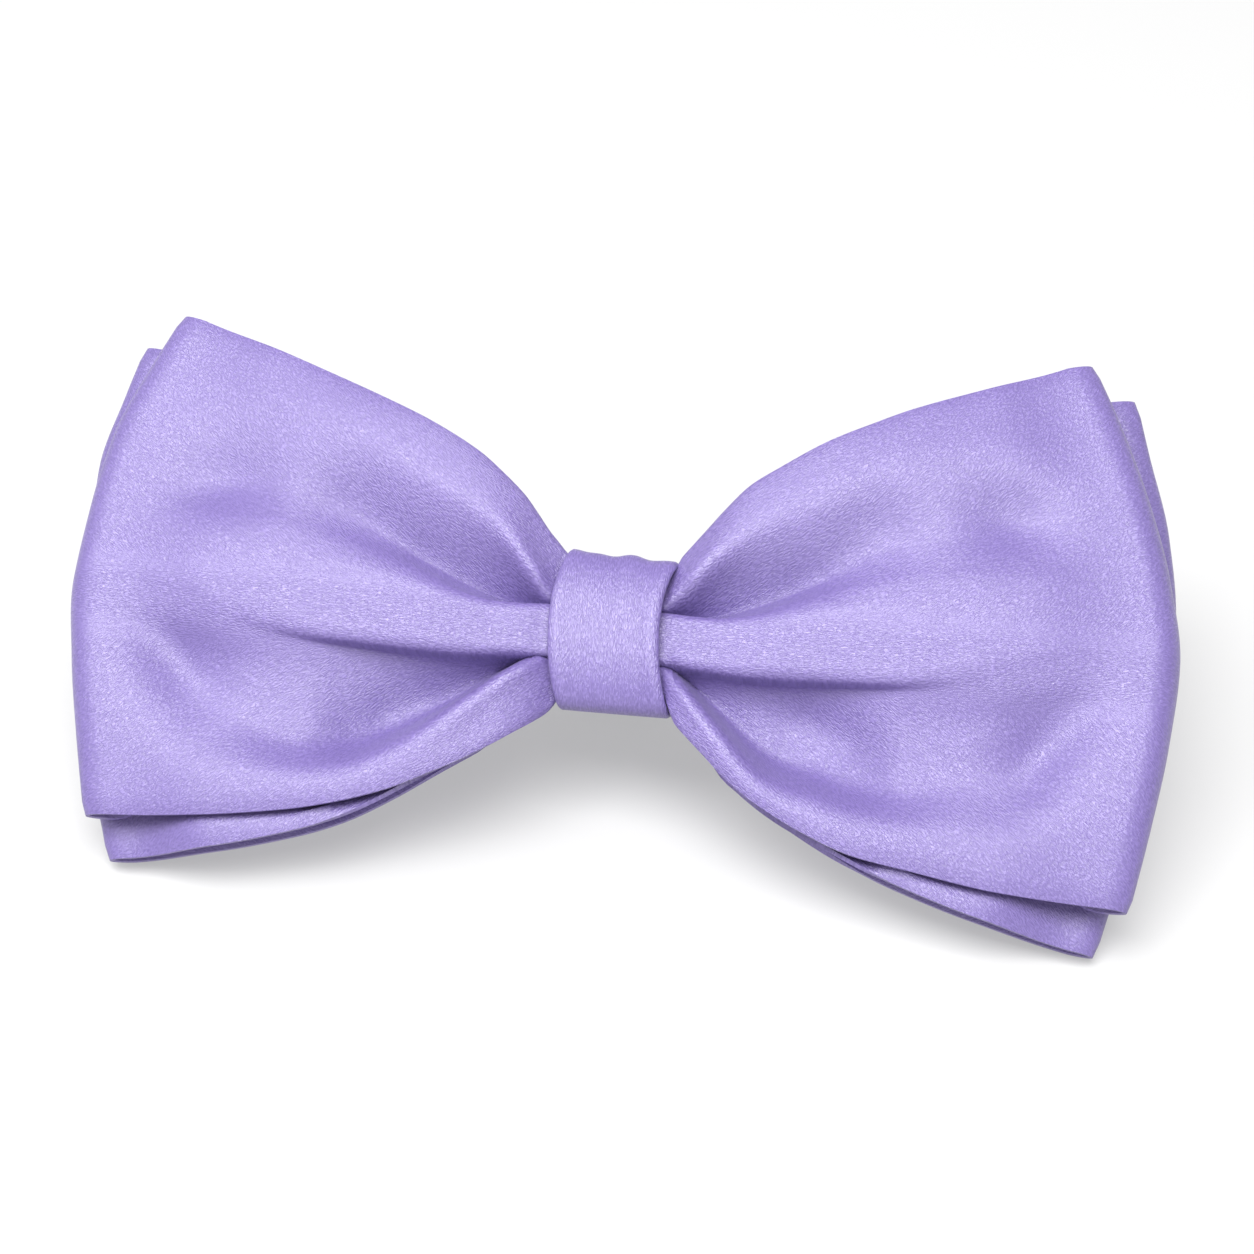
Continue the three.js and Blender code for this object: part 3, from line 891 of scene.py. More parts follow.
@dataclass(kw_only=True)
class FrontBow(BowLoop):
    """The front loop, with the raised pleat, its valleys, creases and dents. Sizes are in mm.

    Attributes:
        band_shift: How far right of the knot's middle the band's middle lies.
        right_spread: Part by which the folds under the right pleat stand farther apart. Its pairs are in mm.
        least_swell: Least room from the pleat's edge to the swelling.
        least_rim: Least room from the swelling to the rim.
        floor_between: Where the valley's even height may lie, as parts of the way to the swelling.
        softening: Part by which the step at the pleat's edge shrinks where the edge is softest.
        tuck: Least width of the steep cloth at the pleat's edge, and its growth where the edge is soft.
        tucked_under: A valley nearer to the pleat's edge than this makes the cloth tuck under itself.
        rows_looked_at: How many rows up and down keep the back panel clear of the front one.
    """

    pleat: tuple[PleatRow, ...]
    over_pleat: tuple[SlopeRow, ...]
    under_pleat: tuple[SlopeRow, ...]
    over_edge: PleatEdge
    under_edge: PleatEdge
    dents: tuple[Dent, ...]
    creases: tuple[Crease, ...]
    band_shift: float = 0.7
    right_spread: float = 0.2
    spread_from: tuple[float, float] = (6.5, 10.0)
    spread_until: tuple[float, float] = (16.0, 26.0)
    folds_from: tuple[float, float] = (0.118, 0.16)
    least_swell: float = 0.7
    least_rim: float = 0.3
    floor_between: tuple[float, float] = (0.4, 0.8)
    softening: float = 0.4
    tuck: tuple[float, float] = (0.12, 0.25)
    tucked_under: float = 0.3
    rows_looked_at: int = 3

    def half_section(self, side: Side, away: float, up: np.ndarray, rim_at: float, upper: bool) -> Curve:
        """Lays out the gathered cloth over or under the pleat's middle line.

        The cloth drops steeply at the pleat's edge. Beside the knot the valley lies behind that edge: there
        the cloth tucks under itself.

        Args:
            side: The wing.
            away: Distance from the band's middle, in mm.
            up: Even heights, in mm.
            rim_at: Height of the wing's rim, in mm.
            upper: Whether it is the cloth over the pleat.

        Returns:
            Height and depth in mm for each even height.
        """
        slope = self.over_pleat if upper else self.under_pleat
        edge = self.over_edge if upper else self.under_edge
        way = 1.0 if upper else -1.0
        low, top, crest = (read(self.pleat, column, away) for column in ("low_edge", "top_edge", "crest"))
        valley, swell, rim = (read(slope, column, away) for column in ("valley", "swell", "rim"))
        middle = (low + top) / 2.0
        half = (top - low) / 2.0
        spread = 1.0
        if side is Side.RIGHT and not upper:
            still = 1.0 - eased(*self.spread_until, away)
            spread += self.right_spread * eased(*self.spread_from, away) * still
        swell_at = max(way * (read(slope, "swell_at", away) * spread - middle), half + self.least_swell)
        valley_at = way * (read(slope, "valley_at", away) * spread - middle)
        gap = swell_at - half
        nearest, farthest = (half + part * gap for part in self.floor_between)
        floor_at = min(max(valley_at, nearest), farthest)
        far = max(way * (rim_at - middle), swell_at + self.least_rim)
        drop = crest - valley
        soft = eased(edge.softer_from, edge.softest_at, away)
        step = edge.step * (1.0 - self.softening * soft)
        foot = half + self.tuck[0] + soft * self.tuck[1] * max(valley_at - half, 0.0)
        if valley_at < half + self.tucked_under:
            foot = min(foot, half + 0.5 * (valley_at - half))
        # Each row holds an even height, the real height it moves to and its depth, from the pleat to the rim.
        even, real, depth = zip(
            (0.0, 0.0, crest),
            (half * 0.7, half * 0.72, crest - 0.02 * drop),
            (half, half, crest - 0.1 * drop),
            (half + 0.3 * (floor_at - half), foot, crest - (0.1 + step) * drop),
            (half + 0.6 * (floor_at - half), foot + 0.4 * (valley_at - foot), crest - edge.turn_in * drop),
            (floor_at, valley_at, valley),
            (swell_at, swell_at, swell),
            (far, far, rim),
        )
        at = way * (up - middle)
        return middle + way * through(even, real, at), through(even, depth, at)

    def front_shape(self, side: Side, at: float, across: np.ndarray, up: np.ndarray) -> Curve:
        """Lays out a column of the front panel, with all its folds.

        Args:
            side: The wing.
            at: Part of the wing's length.
            across: Distances of the column's points from the knot's middle, in mm.
            up: Their even heights, in mm.

        Returns:
            Height and depth of each point, in mm.
        """
        away = at * self.wing_length + side.value * self.band_shift
        over = self.half_section(side, away, up, float(up.max()), True)
        under = self.half_section(side, away, up, float(up.min()), False)
        upper = up > (read(self.pleat, "top_edge", away) + read(self.pleat, "low_edge", away)) / 2.0
        tucked, depth = (np.where(upper, one, other) for one, other in zip(over, under))
        extra = np.zeros_like(depth)
        for dent in self.dents:
            if dent.side is side:
                extra -= dent.sunk(across, tucked)
        for crease in self.creases:
            if crease.side is side:
                extra += crease.raised(across, tucked)
        return tucked, depth + eased(*self.folds_from, at) * extra

    def back_depth(self, side: Side, at: float, height: np.ndarray) -> np.ndarray:
        """Depth of the back panel, nearly flat and closed at the bottom, always behind the front one.

        Args:
            side: The wing.
            at: Part of the wing's length.
            height: Heights of the column's points, from -1 to 1.

        Returns:
            Depth of each point, in mm.
        """
        across = np.full_like(height, at * self.wing_length)
        _, front = self.front_shape(side, at, across, self.up_at(side, at, height))
        padded = np.pad(front, self.rows_looked_at, mode="edge")
        shifted = [padded[k : k + len(front)] for k in range(2 * self.rows_looked_at + 1)]
        nearest = np.min(shifted, axis=0)
        return np.minimum(self.back.depth(at, height, self.lower_rim(at)), nearest - self.layer_gap)


@dataclass(kw_only=True)
class RearBow(BowLoop):
    """The rear loop: it lies against the front one, and is plain where that covers it. Sizes are in mm.

    Attributes:
        cover: The front bow.
        slope_gap: Extra room between two layers where they slope most.
        knot_gap: Extra room behind the front bow at the knot.
        strip_forward: How far the strip that shows below the front bow comes forward.
        strip_below: Distances below the front rim between which it comes forward.
        gather_depth: Depth of the soft folds of the back panel.
        gathers: Half turns of those folds from the middle of the height to a rim.
    """

    cover: FrontBow
    slope_gap: float = 1.2
    knot_gap: float = 0.1
    knot_until: tuple[float, float] = (0.12, 0.17)
    strip_forward: float = 1.45
    strip_below: tuple[float, float] = (-1.6, -0.1)
    strip_from: tuple[float, float] = (0.18, 0.3)
    gather_depth: float = 0.9
    gathers: float = 3.5
    gather_from: tuple[float, float] = (0.12, 0.19)
    gather_until: tuple[float, float] = (0.25, 0.9)

    def slope_room(self, closed: np.ndarray) -> np.ndarray:
        """Extra room for two layers that slope together, in mm, for how far they have closed."""
        return self.slope_gap * 4.0 * closed * (1.0 - closed)

    def front_shape(self, side: Side, at: float, across: np.ndarray, up: np.ndarray) -> Curve:
        """Lays the covered front panel along the back of the bow before it.

        Args:
            side: The wing.
            at: Part of the wing's length.
            across: Distances of the column's points from the knot's middle, in mm. Not used here.
            up: Their heights, in mm.

        Returns:
            Height and depth of each point, in mm.
        """
        limits = self.cover.up_at(side, at, np.array([-1.0, 1.0]))
        covered = np.clip((2.0 * up - limits.sum()) / (limits[1] - limits[0]), -1.0, 1.0)
        gap = self.layer_gap + self.slope_room(self.cover.back.closed(at, covered))
        gap = gap + self.knot_gap * (1.0 - eased(*self.knot_until, at))
        below = eased(*self.strip_below, limits[0] - up) * eased(*self.strip_from, at)
        return up, self.cover.back_depth(side, at, covered) - gap + self.strip_forward * below

    def back_depth(self, side: Side, at: float, height: np.ndarray) -> np.ndarray:
        """Gathers the back panel into soft folds at the knot, which smooth out toward the fold.

        Args:
            side: The wing.
            at: Part of the wing's length.
            height: Heights of the column's points, from -1 to 1.

        Returns:
            Depth of each point, in mm.
        """
        gathered = eased(*self.gather_from, at) * (1.0 - eased(*self.gather_until, at))
        folds = self.gather_depth * gathered * np.cos(height * self.gathers * math.pi) * (1.0 - height**4)
        loose = self.back.depth(at, height, self.lower_rim(at)) + folds
        across = np.full_like(height, at * self.wing_length)
        _, front = self.front_shape(side, at, across, self.up_at(side, at, height))
        return np.minimum(loose, front - self.layer_gap - self.slope_room(self.back.closed(at, height)))


@dataclass
class KnotBand(ClothPiece):
    """The strip of cloth wrapped round the gathered middle. Sizes are in mm.

    Attributes:
        lean_across: How far right of the knot's middle the band's middle lies.
        slant: How far farther right its top lies.
        bowed: How far the middle of its front bows to the left.
        bow_spread: How soon the bowing is full as the band turns to the front.
        front_squareness: How square its front's corners are: 2 is an ellipse, and more is squarer.
        front_bulge: How far its front swells between its corners.
        chin: How far the front's lower corner rolls down.
        top_drop: How far the top falls to the right.
        waves: Height, turns and phase of each wave of its top.
        lips: Place from -1 to 1 and height of the raised line beside each edge.
    """

    middle_up: float = 1.05
    half_height: float = 8.1
    half_depth: float = 5.2
    middle_out: float = 1.2
    half_width: float = 6.0
    lean_across: float = 0.85
    slant: float = -0.3
    bowed: float = 1.55
    bow_spread: float = 1.6
    front_squareness: float = 6.0
    back_squareness: float = 5.0
    front_bulge: float = 1.4
    chin: float = 1.6
    top_drop: float = 0.2
    waves: tuple[tuple[float, float, float], ...] = ((0.16, 6.5, 0.6), (0.1, 11.0, 0.0))
    lips: tuple[tuple[float, float], ...] = ((0.84, 0.22), (-0.84, 0.12))
    lip_width: float = 0.1
    wrinkles: tuple[Dent, ...] = ()
    round_steps: int = 176
    across_steps: int = 30

    def outline(self) -> Curve:
        """Draws the band's way round the knot, from its top and down the front.

        Returns:
            Height from -1 to 1 and depth in mm of each point.
        """
        turns = np.linspace(0.0, 2.0 * math.pi, self.round_steps + 1)
        sine, cosine = np.sin(turns), np.cos(turns)
        power = 2.0 / np.where(sine > 0, self.front_squareness, self.back_squareness)
        height = np.sign(cosine) * np.abs(cosine) ** power
        out = self.half_depth * np.sign(sine) * np.abs(sine) ** power
        swelling = out * (1.0 - self.front_bulge / self.half_depth) + self.front_bulge * (1.0 - height**2)
        return height, self.middle_out + np.where(sine > 0, swelling, out)

    def relief(self, parts: np.ndarray, across: np.ndarray, up: np.ndarray) -> np.ndarray:
        """Adds up the raised lines beside the edges and the small wrinkles.

        Args:
            parts: Places over the band's width, from -1 to 1.
            across: Distances from the knot's middle, in mm, a row for each height.
            up: Heights over the band's middle, in mm.

        Returns:
            Added depth in mm.
        """
        lips = sum(high * np.exp(-(((parts - at) / self.lip_width) ** 2)) for at, high in self.lips)
        return lips - sum(wrinkle.sunk(across, up) for wrinkle in self.wrinkles)

    def build(self, satin: Satin) -> bpy.types.Object:
        """Builds the band.

        Args:
            satin: Its finish.

        Returns:
            The finished object.
        """
        parts = np.linspace(-1.0, 1.0, self.across_steps + 1)
        height, out = self.outline()
        walked = np.cumsum(np.hypot(np.diff(self.half_height * height), np.diff(out)))
        forward = (out - self.middle_out) / self.half_depth
        front = np.clip(forward, 0.0, 1.0)
        upper = np.clip(height, 0.0, 1.0)[:, None]
        centre = self.lean_across + self.slant * height
        centre -= self.bowed * (1.0 - height**2) * np.minimum(front * self.bow_spread, 1.0)
        across = centre[:, None] + parts * self.half_width
        from_middle = self.half_height * height - self.chin * np.clip(-height, 0.0, 1.0) * forward
        waves = sum(high * np.sin(parts * turns + phase) for high, turns, phase in self.waves)
        up = from_middle[:, None] + self.middle_up - self.top_drop * parts * upper + waves * upper**4
        depth = out[:, None] + front[:, None] * self.relief(parts, across, from_middle[:, None])
        run = np.broadcast_to(np.concatenate([[0.0], walked])[:, None], across.shape)
        points = np.stack([across, up, depth], axis=2)
        ring = self.weave_ring(self.round_steps, self.across_steps, points, np.stack([across, run], axis=2))
        return self.finish_piece(ring, satin)


@dataclass
class CollarClip:
    """The springy strip behind the knot: a plate, a bend at the top, and a tongue down to the table.

    Sizes are in mm.
    """

    stance: Stance
    name: str = "collar_clip_strip"
    width: float = 11.0
    thickness: float = 0.8
    edge_round: float = 0.15
    plate_out: float = -5.25
    plate_bottom: float = -3.0
    plate_length: float = 11.0
    top_bend_deg: float = 124.0
    top_bend_radius: float = 2.6
    lip_bend_deg: float = 100.0
    lip_radius: float = 1.8

    def heading(self, degrees: float) -> Vector:
        """Direction of the strip, of length one, for a turn backward from upright."""
        angle = math.radians(degrees)
        return (self.stance.place(0.0, math.cos(angle), -math.sin(angle)) - self.stance.origin) / MM

    def tongue_length(self) -> float:
        """Finds the straight part of the tongue that brings its lip down to the table.

        Returns:
            Its length in mm.
        """
        turn = math.radians(self.top_bend_deg)
        both = self.top_bend_radius + self.lip_radius
        lip_up = self.plate_bottom + self.plate_length + both * math.sin(turn)
        lip_out = self.plate_out - self.top_bend_radius + both * math.cos(turn)
        drop = self.stance.place(0.0, lip_up, lip_out).z / MM - self.lip_radius - self.thickness / 2.0
        return drop / -self.heading(self.top_bend_deg).z

    def straight(self, strip: bmesh.types.BMesh, end: bmesh.types.BMEdge, length: float, degrees: float,
                 steps: int) -> bmesh.types.BMEdge:
        """Extends the strip's end in a straight line.

        Args:
            strip: The strip so far.
            end: Its last edge.
            length: Length to add, in mm.
            degrees: Heading, as a turn backward from upright.
            steps: Faces along it.

        Returns:
            The new last edge.
        """
        for _ in range(steps):
            made = bmesh.ops.extrude_edge_only(strip, edges=[end])["geom"]
            end = next(part for part in made if isinstance(part, bmesh.types.BMEdge))
            bmesh.ops.translate(strip, verts=end.verts[:], vec=self.heading(degrees) * length * MM / steps)
        return end

    def bend(self, strip: bmesh.types.BMesh, end: bmesh.types.BMEdge, radius: float, turn_deg: float,
             degrees: float, steps: int) -> bmesh.types.BMEdge:
        """Turns the strip's end about an axis from left to right.

        Args:
            strip: The strip so far.
            end: Its last edge.
            radius: Radius of the bend, in mm.
            turn_deg: Turn of the bend, backward where it is positive.
            degrees: Heading before the bend, as a turn backward from upright.
            steps: Faces along it.

        Returns:
            The new last edge.
        """
        centre = end.verts[0].co + self.heading(degrees + math.copysign(90.0, turn_deg)) * radius * MM
        centre.x = self.stance.origin.x
        made = bmesh.ops.spin(
            strip, geom=[end, *end.verts], cent=centre, axis=(1.0, 0.0, 0.0), dvec=(0.0, 0.0, 0.0),
            angle=-math.radians(turn_deg), steps=steps, use_merge=False, use_duplicate=False,
        )["geom_last"]
        return next(part for part in made if isinstance(part, bmesh.types.BMEdge))

    def build(self, steel: SpringSteel) -> bpy.types.Object:
        """Bends the strip out of one edge with extrudes and spins.

        Args:
            steel: Its finish.

        Returns:
            The finished object.
        """
        strip = bmesh.new()
        end = strip.edges.new([
            strip.verts.new(self.stance.place(across, self.plate_bottom, self.plate_out))
            for across in (-self.width / 2.0, self.width / 2.0)
        ])
        end = self.straight(strip, end, self.plate_length, 0.0, steps=6)
        end = self.bend(strip, end, self.top_bend_radius, self.top_bend_deg, 0.0, steps=22)
        end = self.straight(strip, end, self.tongue_length(), self.top_bend_deg, steps=6)
        self.bend(strip, end, self.lip_radius, -self.lip_bend_deg, self.top_bend_deg, steps=18)
        bmesh.ops.remove_doubles(strip, verts=strip.verts[:], dist=MERGE_MM * MM)
        bmesh.ops.recalc_face_normals(strip, faces=strip.faces[:])
        piece = as_object(self.name, strip, steel.material())
        add_wall(piece, self.thickness, self.edge_round, segments=2).use_even_offset = True
        return piece


@dataclass(frozen=True)
class Softbox:
    """A soft rectangular lamp that points at the tie.

    Attributes:
        size: Its width and height in metres.
        power: Its power in watts.
        azimuth_deg: Direction it hangs in: 0 is the viewer's side and 90 the right.
        distance: Its distance in metres.
    """

    name: str
    size: tuple[float, float]
    power: float
    azimuth_deg: float
    elevation_deg: float
    distance: float

    def hang(self, middle: Vector) -> None:
        """Hangs the lamp.

        Args:
            middle: The point it is aimed at.
        """
        data = bpy.data.lights.new(self.name, "AREA")
        data.shape = "RECTANGLE"
        data.size, data.size_y = self.size
        data.energy = self.power
        lamp = bpy.data.objects.new(self.name, data)
        back = toward(self.azimuth_deg, self.elevation_deg)
        lamp.location = middle + back * self.distance
        lamp.rotation_euler = back.to_track_quat("Z", "Y").to_euler()
        bpy.context.scene.collection.objects.link(lamp)


@dataclass
class Studio:
    """Plain white floor, soft light and the camera.

    Attributes:
        surround: Brightness of the white room.
        floor_half: Half the floor's width in metres.
    """

    stance: Stance
    lamps: tuple[Softbox, ...]
    surround: float = 0.6
    floor_half: float = 4.0
    sensor_mm: float = 36.0
    lens_mm: float = 74.64
    camera_turn_deg: float = 7.2731
    camera_height_deg: float = 40.0
    camera_distance_mm: float = 283.61
    camera_right_mm: float = 1.4774
    camera_up_mm: float = 2.441

    def floor(self, sheet: LightTable) -> None:
        """Lays the floor under the tie.

        Args:
            sheet: Its finish.
        """
        shape = bmesh.new()
        bmesh.ops.create_grid(shape, x_segments=8, y_segments=8, size=self.floor_half)
        as_object("studio_floor", shape, sheet.material())

    def light(self) -> None:
        """Sets the lamps, the white surroundings and the plain colour handling."""
        for lamp in self.lamps:
            lamp.hang(self.stance.origin)
        world = bpy.data.worlds.new("white_studio")
        world.use_nodes = True
        world.node_tree.nodes.clear()
        backdrop = add_node(world.node_tree, "Background", {
            "Color": linear("#ffffff"), "Strength": self.surround,
        })
        add_node(world.node_tree, "OutputWorld", {"Surface": backdrop})
        scene = bpy.context.scene
        scene.world = world
        scene.view_settings.view_transform = "Standard"
        scene.view_settings.look = "None"

    def camera(self) -> None:
        """Sets the camera at the picture's viewing angle."""
        turn = math.radians(self.camera_turn_deg)
        back = toward(self.camera_turn_deg, self.camera_height_deg)
        right = Vector((math.cos(turn), math.sin(turn), 0.0))
        up = back.cross(right)
        data = bpy.data.cameras.new("studio_camera")
        data.sensor_width = self.sensor_mm
        data.lens = self.lens_mm
        data.clip_start = 0.01
        camera = bpy.data.objects.new("studio_camera", data)
        place = back * self.camera_distance_mm + right * self.camera_right_mm + up * self.camera_up_mm
        turned = Matrix((right, up, back)).transposed().to_4x4()
        turned.translation = self.stance.origin + place * MM
        camera.matrix_world = turned
        bpy.context.scene.collection.objects.link(camera)
        bpy.context.scene.camera = camera


# Sizes of this tie

LEAN_DEG = 57.0
BAND_BOX_MIDDLE_MM = (0.222, 1.097, 1.345)
SOFTBOXES = (
    Softbox("overhead_softbox", (0.85, 0.52), 15.6, -14.0, 74.0, 0.9),
    Softbox("left_softbox", (0.7, 0.7), 3.5, -80.0, 48.0, 1.0),
    Softbox("front_softbox", (0.9, 0.5), 3.6, 6.0, 14.0, 1.2),
)
FRONT_EDGES = table(
    EdgeRow,
    (0.0, 8.0, -5.4, 8.0, -5.4),
    (0.08, 8.0, -5.4, 8.0, -5.4),
    (0.09, 8.3, -6.8, 8.0, -5.4),
    (0.1, 9.2, -8.0, 8.0, -5.4),
    (0.113, 9.9, -8.9, 8.4, -5.7),
    (0.125, 10.6, -9.6, 9.9, -7.2),
    (0.14, 11.4, -10.4, 11.0, -9.0),
    (0.17, 13.4, -11.8, 13.1, -10.8),
    (0.2, 15.3, -13.1, 15.2, -12.4),
    (0.25, 17.6, -15.0, 18.2, -15.0),
    (0.3, 19.6, -16.6, 20.1, -17.0),
    (0.4, 22.4, -19.3, 23.5, -19.9),
    (0.5, 24.6, -21.1, 26.1, -21.9),
    (0.6, 26.6, -22.3, 28.4, -22.8),
    (0.8, 30.3, -23.7, 31.9, -24.3),
    (1.0, 33.5, -24.3, 35.2, -24.7),
)
REAR_EDGES = table(
    EdgeRow,
    (0.0, 6.3, -3.4, 6.3, -3.4),
    (0.08, 6.3, -3.4, 6.3, -3.4),
    (0.1, 6.4, -3.8, 6.3, -3.4),
    (0.113, 6.8, -4.2, 6.3, -3.6),
    (0.125, 7.5, -5.0, 7.0, -4.2),
    (0.14, 8.8, -6.4, 8.6, -5.8),
    (0.17, 11.6, -9.1, 11.4, -8.8),
    (0.2, 13.8, -11.1, 13.6, -11.2),
    (0.25, 16.6, -13.6, 16.6, -14.2),
    (0.3, 18.8, -15.6, 18.9, -16.0),
    (0.4, 22.0, -19.4, 22.9, -19.3),
    (0.5, 24.6, -22.4, 25.9, -22.0),
    (0.6, 26.8, -24.3, 28.4, -24.1),
    (0.8, 30.4, -26.8, 32.1, -27.0),
    (1.0, 32.3, -28.1, 34.4, -28.7),
)
FRONT_REACH = table(
    ReachRow,
    (-1.0, 53.8, 56.0, 3.75),
    (-0.7, 56.1, 57.8, 3.6),
    (-0.4, 58.2, 59.3, 3.2),
    (-0.1, 59.6, 60.1, 2.75),
    (0.2, 59.2, 58.7, 2.5),
    (0.5, 58.0, 56.0, 2.4),
    (0.8, 54.9, 52.3, 2.4),
    (1.0, 52.5, 49.4, 2.4),
)
REAR_REACH = table(
    ReachRow,
    (-1.0, 51.4, 53.1, 0.3),
    (-0.85, 53.1, 54.3, -0.1),
    (-0.7, 55.2, 55.6, -0.9),
    (-0.4, 57.4, 57.6, -2.3),
    (-0.1, 59.2, 59.2, -3.3),
    (0.2, 60.6, 60.2, -3.8),
    (0.5, 61.2, 59.1, -4.0),
    (0.8, 59.6, 56.5, -4.0),
    (1.0, 58.3, 54.8, -4.0),
)
PLEAT = table(
    PleatRow,
    (0.0, -2.4, 2.8, 4.9),
    (6.2, -2.35, 2.75, 4.9),
    (9.0, -2.5, 2.5, 5.3),
    (12.0, -2.8, 2.4, 5.6),
    (16.0, -3.1, 2.9, 6.0),
    (19.0, -3.1, 3.7, 6.3),
    (23.0, -3.05, 4.8, 6.6),
    (30.0, -2.8, 6.2, 6.9),
    (36.0, -1.9, 7.0, 7.0),
    (41.0, -0.7, 7.6, 6.9),
    (47.0, 1.0, 8.2, 6.5),
    (57.0, 3.0, 9.0, 5.6),
)
OVER_PLEAT = table(
    SlopeRow,
    (0.0, 3.1, 1.8, 3.9, 3.4, 2.8),
    (5.2, 3.1, 1.8, 3.9, 3.9, 3.2),
    (6.2, 3.1, 1.4, 3.9, 4.3, 3.4),
    (7.2, 3.1, 1.2, 4.9, 4.7, 3.7),
    (9.0, 3.3, 1.0, 7.0, 5.3, 4.1),
    (11.8, 3.8, 1.1, 10.3, 5.9, 4.7),
    (15.0, 4.9, 1.8, 12.8, 6.3, 5.3),
    (20.0, 7.0, 3.1, 15.6, 6.6, 5.7),
    (25.0, 9.6, 4.3, 18.0, 6.7, 5.9),
    (30.0, 12.0, 5.2, 20.5, 6.6, 5.7),
    (38.0, 13.5, 6.0, 22.5, 6.3, 5.3),
    (47.0, 14.0, 5.9, 23.5, 5.7, 4.8),
    (57.0, 14.0, 5.2, 24.0, 4.9, 4.2),
)
UNDER_PLEAT = table(
    SlopeRow,
    (0.0, -1.8, 1.8, -3.2, 3.2, 2.6),
    (5.2, -2.2, 2.5, -3.2, 3.8, 3.1),
    (6.7, -2.2, 2.2, -3.3, 4.5, 4.0),
    (8.0, -2.5, 1.9, -4.3, 5.1, 4.7),
    (10.0, -3.4, 1.4, -6.1, 5.7, 5.4),
    (13.0, -5.1, 0.9, -8.9, 6.2, 6.0),
    (16.0, -7.0, 0.6, -11.6, 6.5, 6.3),
    (19.0, -8.8, 0.6, -14.0, 6.6, 6.4),
    (23.0, -10.9, 0.9, -16.6, 6.6, 6.4),
    (27.0, -12.7, 1.9, -18.4, 6.5, 6.4),
    (33.0, -13.8, 3.7, -19.4, 6.4, 6.2),
    (42.0, -11.0, 4.4, -19.8, 6.2, 6.0),
    (50.0, -9.0, 4.5, -19.8, 5.8, 5.6),
    (57.0, -8.0, 4.7, -19.8, 5.1, 4.9),
)
OVER_EDGE = PleatEdge(softer_from=8.0, softest_at=22.0, step=0.3, turn_in=0.66)
UNDER_EDGE = PleatEdge(softer_from=24.0, softest_at=50.0, step=0.36, turn_in=0.82)
FRONT_FOLD = FoldTurn(half_at_corner=1.15, half_at_middle=2.65, reach=2.6)
REAR_FOLD = FoldTurn(half_at_corner=0.9, half_at_middle=2.2, reach=2.3)
FRONT_BACK = PlainPanel(
    ((0.0, 0.4), (0.13, 0.4), (0.15, 0.3), (0.2, 0.4), (0.3, 0.8), (0.5, 1.3), (0.7, 0.8), (1.0, -0.2)),
    rim_gap=1.3, close_from=-0.4,
)
REAR_BACK = PlainPanel(
    ((0.0, -2.4), (0.13, -2.4), (0.15, -3.2), (0.2, -4.6), (0.3, -5.4), (0.5, -6.2), (0.7, -6.4),
     (1.0, -6.2)),
    rim_gap=3.9, close_from=-0.1,
)
FRONT_DENTS = table(
    Dent,
    (Side.LEFT, 46.0, 14.0, 2.0, 8.0, 4.4),
    (Side.LEFT, 46.0, 21.0, 0.9, 9.0, 7.0),
    (Side.LEFT, 30.0, 11.5, 0.5, 5.0, 4.0),
    (Side.RIGHT, 42.5, 16.5, 1.7, 6.0, 4.0),
    (Side.RIGHT, 28.0, 14.0, 0.5, 5.0, 4.0),
)
FRONT_CREASES = table(
    Crease,
    (Side.LEFT, ((6.5, 3.7), (9.5, 7.1), (12.5, 10.7), (15.5, 13.0)), 0.6, 0.6, 1.8),
    (Side.LEFT, ((6.5, -2.9), (10.0, -5.2), (13.7, -8.0), (19.2, -14.4), (23.0, -17.0)), 0.6, 0.7, 2.4),
    (Side.LEFT, ((57.0, -1.5), (50.0, -5.0), (44.0, -8.5), (41.5, -13.0)), -1.8, 3.0, 4.2),
    (Side.LEFT, ((16.0, -5.6), (22.0, -8.4), (26.0, -11.6), (28.5, -16.0)), -0.9, 2.2, 2.8),
    (Side.LEFT, ((19.0, 6.2), (26.0, 9.0), (31.0, 11.5), (35.0, 14.0)), -0.7, 2.2, 3.4),
    (Side.RIGHT, ((5.3, 3.4), (8.0, 6.2), (11.0, 9.5), (14.5, 12.0)), 0.6, 0.6, 1.8),
    (Side.RIGHT, ((6.0, -2.9), (10.0, -7.0), (13.3, -10.8), (17.0, -14.0), (20.3, -16.5)), 0.7, 0.7, 2.4),
    (Side.RIGHT, ((56.5, -0.5), (51.0, -5.0), (47.0, -8.5), (43.5, -14.0), (45.0, -18.5)), -1.5, 3.0, 4.2),
    (Side.RIGHT, ((17.0, -5.0), (24.0, -7.5), (28.3, -10.2), (31.0, -16.0)), -1.0, 2.2, 2.8),
    (Side.RIGHT, ((16.0, 6.0), (23.0, 9.0), (27.0, 13.0)), -0.7, 2.2, 3.4),
)
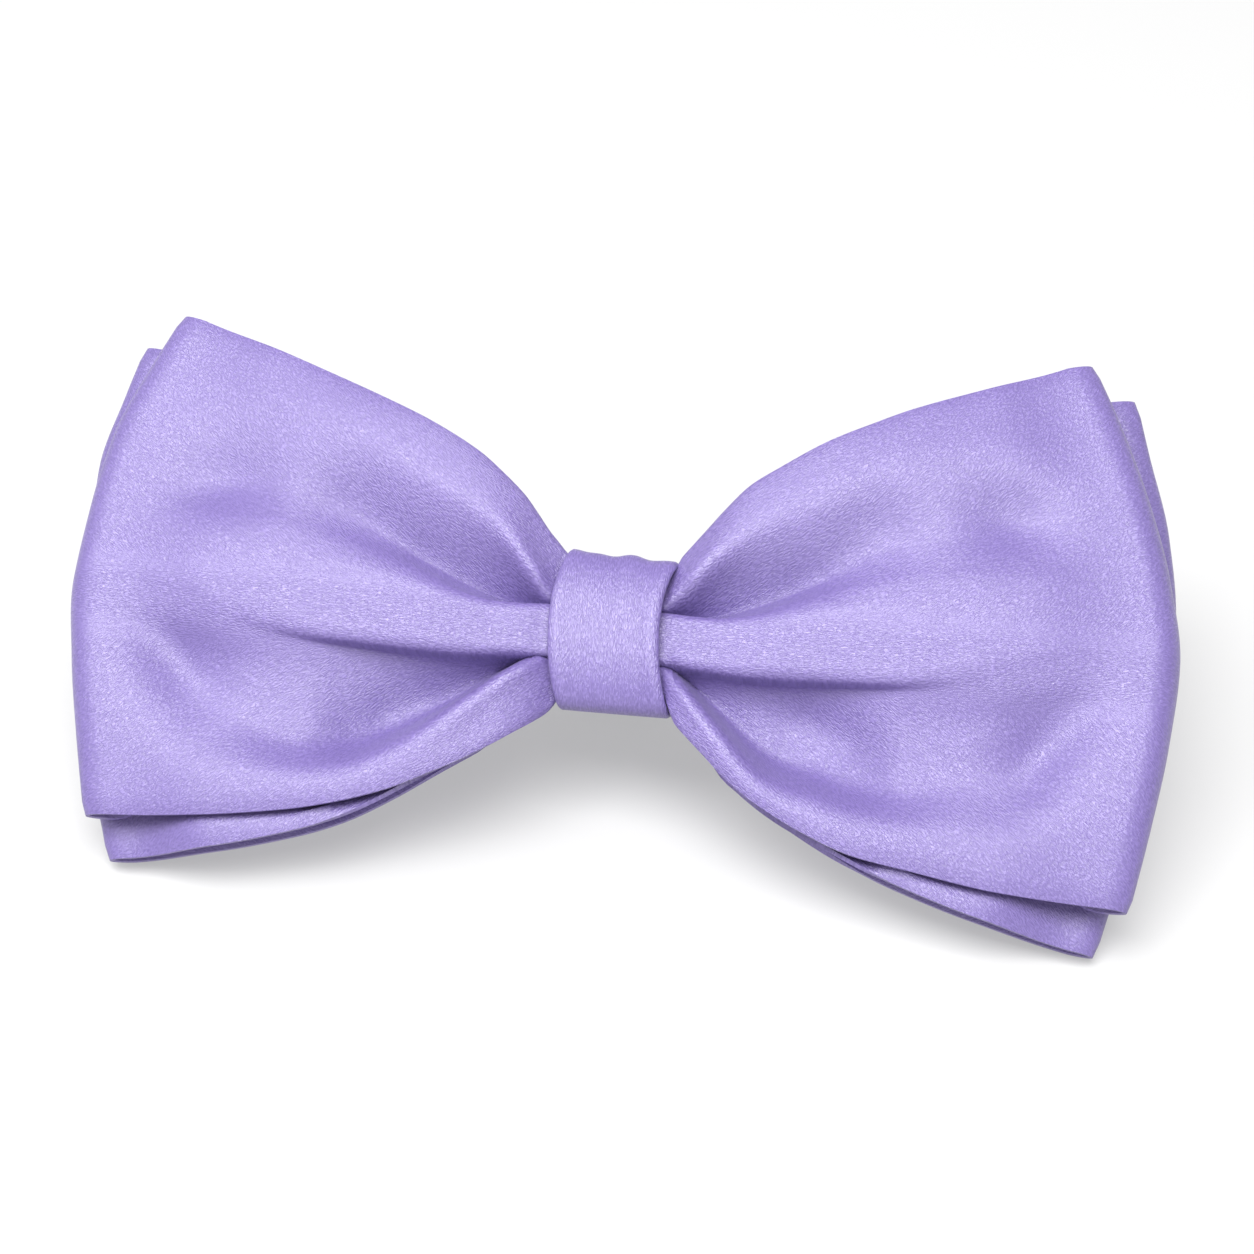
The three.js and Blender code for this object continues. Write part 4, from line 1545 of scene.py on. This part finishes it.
BAND_WRINKLES = table(
    Dent,
    (None, 0.2, 5.5, 0.16, 0.55, 2.6),
    (None, 2.6, 4.6, 0.1, 0.55, 2.6),
    (None, -2.4, -5.2, 0.12, 0.55, 2.6),
    (None, 1.4, -5.6, 0.14, 0.55, 2.6),
)


def ride_and_stand_for(piece: bpy.types.Object, node: str) -> None:
    """Puts a piece on the tie's one body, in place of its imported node.

    Args:
        piece: The finished piece.
        node: The node it stands for.
    """
    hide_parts(node)
    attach(piece, "root")
    log.info("%s stands for %s with %d faces before its wall", piece.name, node, len(piece.data.polygons))


def main() -> None:
    """Builds the tie, its stage and its light."""
    logging.basicConfig(level=logging.INFO, format="%(name)s: %(message)s")
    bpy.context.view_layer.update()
    stance = Stance.on_band(LEAN_DEG, BAND_BOX_MIDDLE_MM)
    studio = Studio(stance, SOFTBOXES)
    studio.camera()
    studio.floor(LightTable())
    studio.light()
    bow_satin = Satin("lavender_polyester_satin", Weave.FANNED)
    band_satin = Satin("lavender_band_satin", Weave.UPRIGHT)

    front_bow = FrontBow(
        "front_bow_cloth", stance, edges=FRONT_EDGES, reach=FRONT_REACH, rims=UNDER_PLEAT,
        fold=FRONT_FOLD, back=FRONT_BACK, pleat=PLEAT, over_pleat=OVER_PLEAT, under_pleat=UNDER_PLEAT,
        over_edge=OVER_EDGE, under_edge=UNDER_EDGE, dents=FRONT_DENTS, creases=FRONT_CREASES,
        back_shorter=2.4,
    )
    front = front_bow.build(bow_satin)
    ride_and_stand_for(front, "front_bow")

    rear = RearBow(
        "rear_bow_cloth", stance, edges=REAR_EDGES, reach=REAR_REACH, rims=UNDER_PLEAT,
        fold=REAR_FOLD, back=REAR_BACK, cover=front_bow, front_steps=72, rows=72,
    ).build(bow_satin)
    ride_and_stand_for(rear, "rear_bow")

    band = KnotBand("knot_band_cloth", stance, wrinkles=BAND_WRINKLES).build(band_satin)
    ride_and_stand_for(band, "knot_band")

    clip = CollarClip(stance).build(SpringSteel())
    ride_and_stand_for(clip, "collar_clip")


if __name__ == "__main__":
    main()
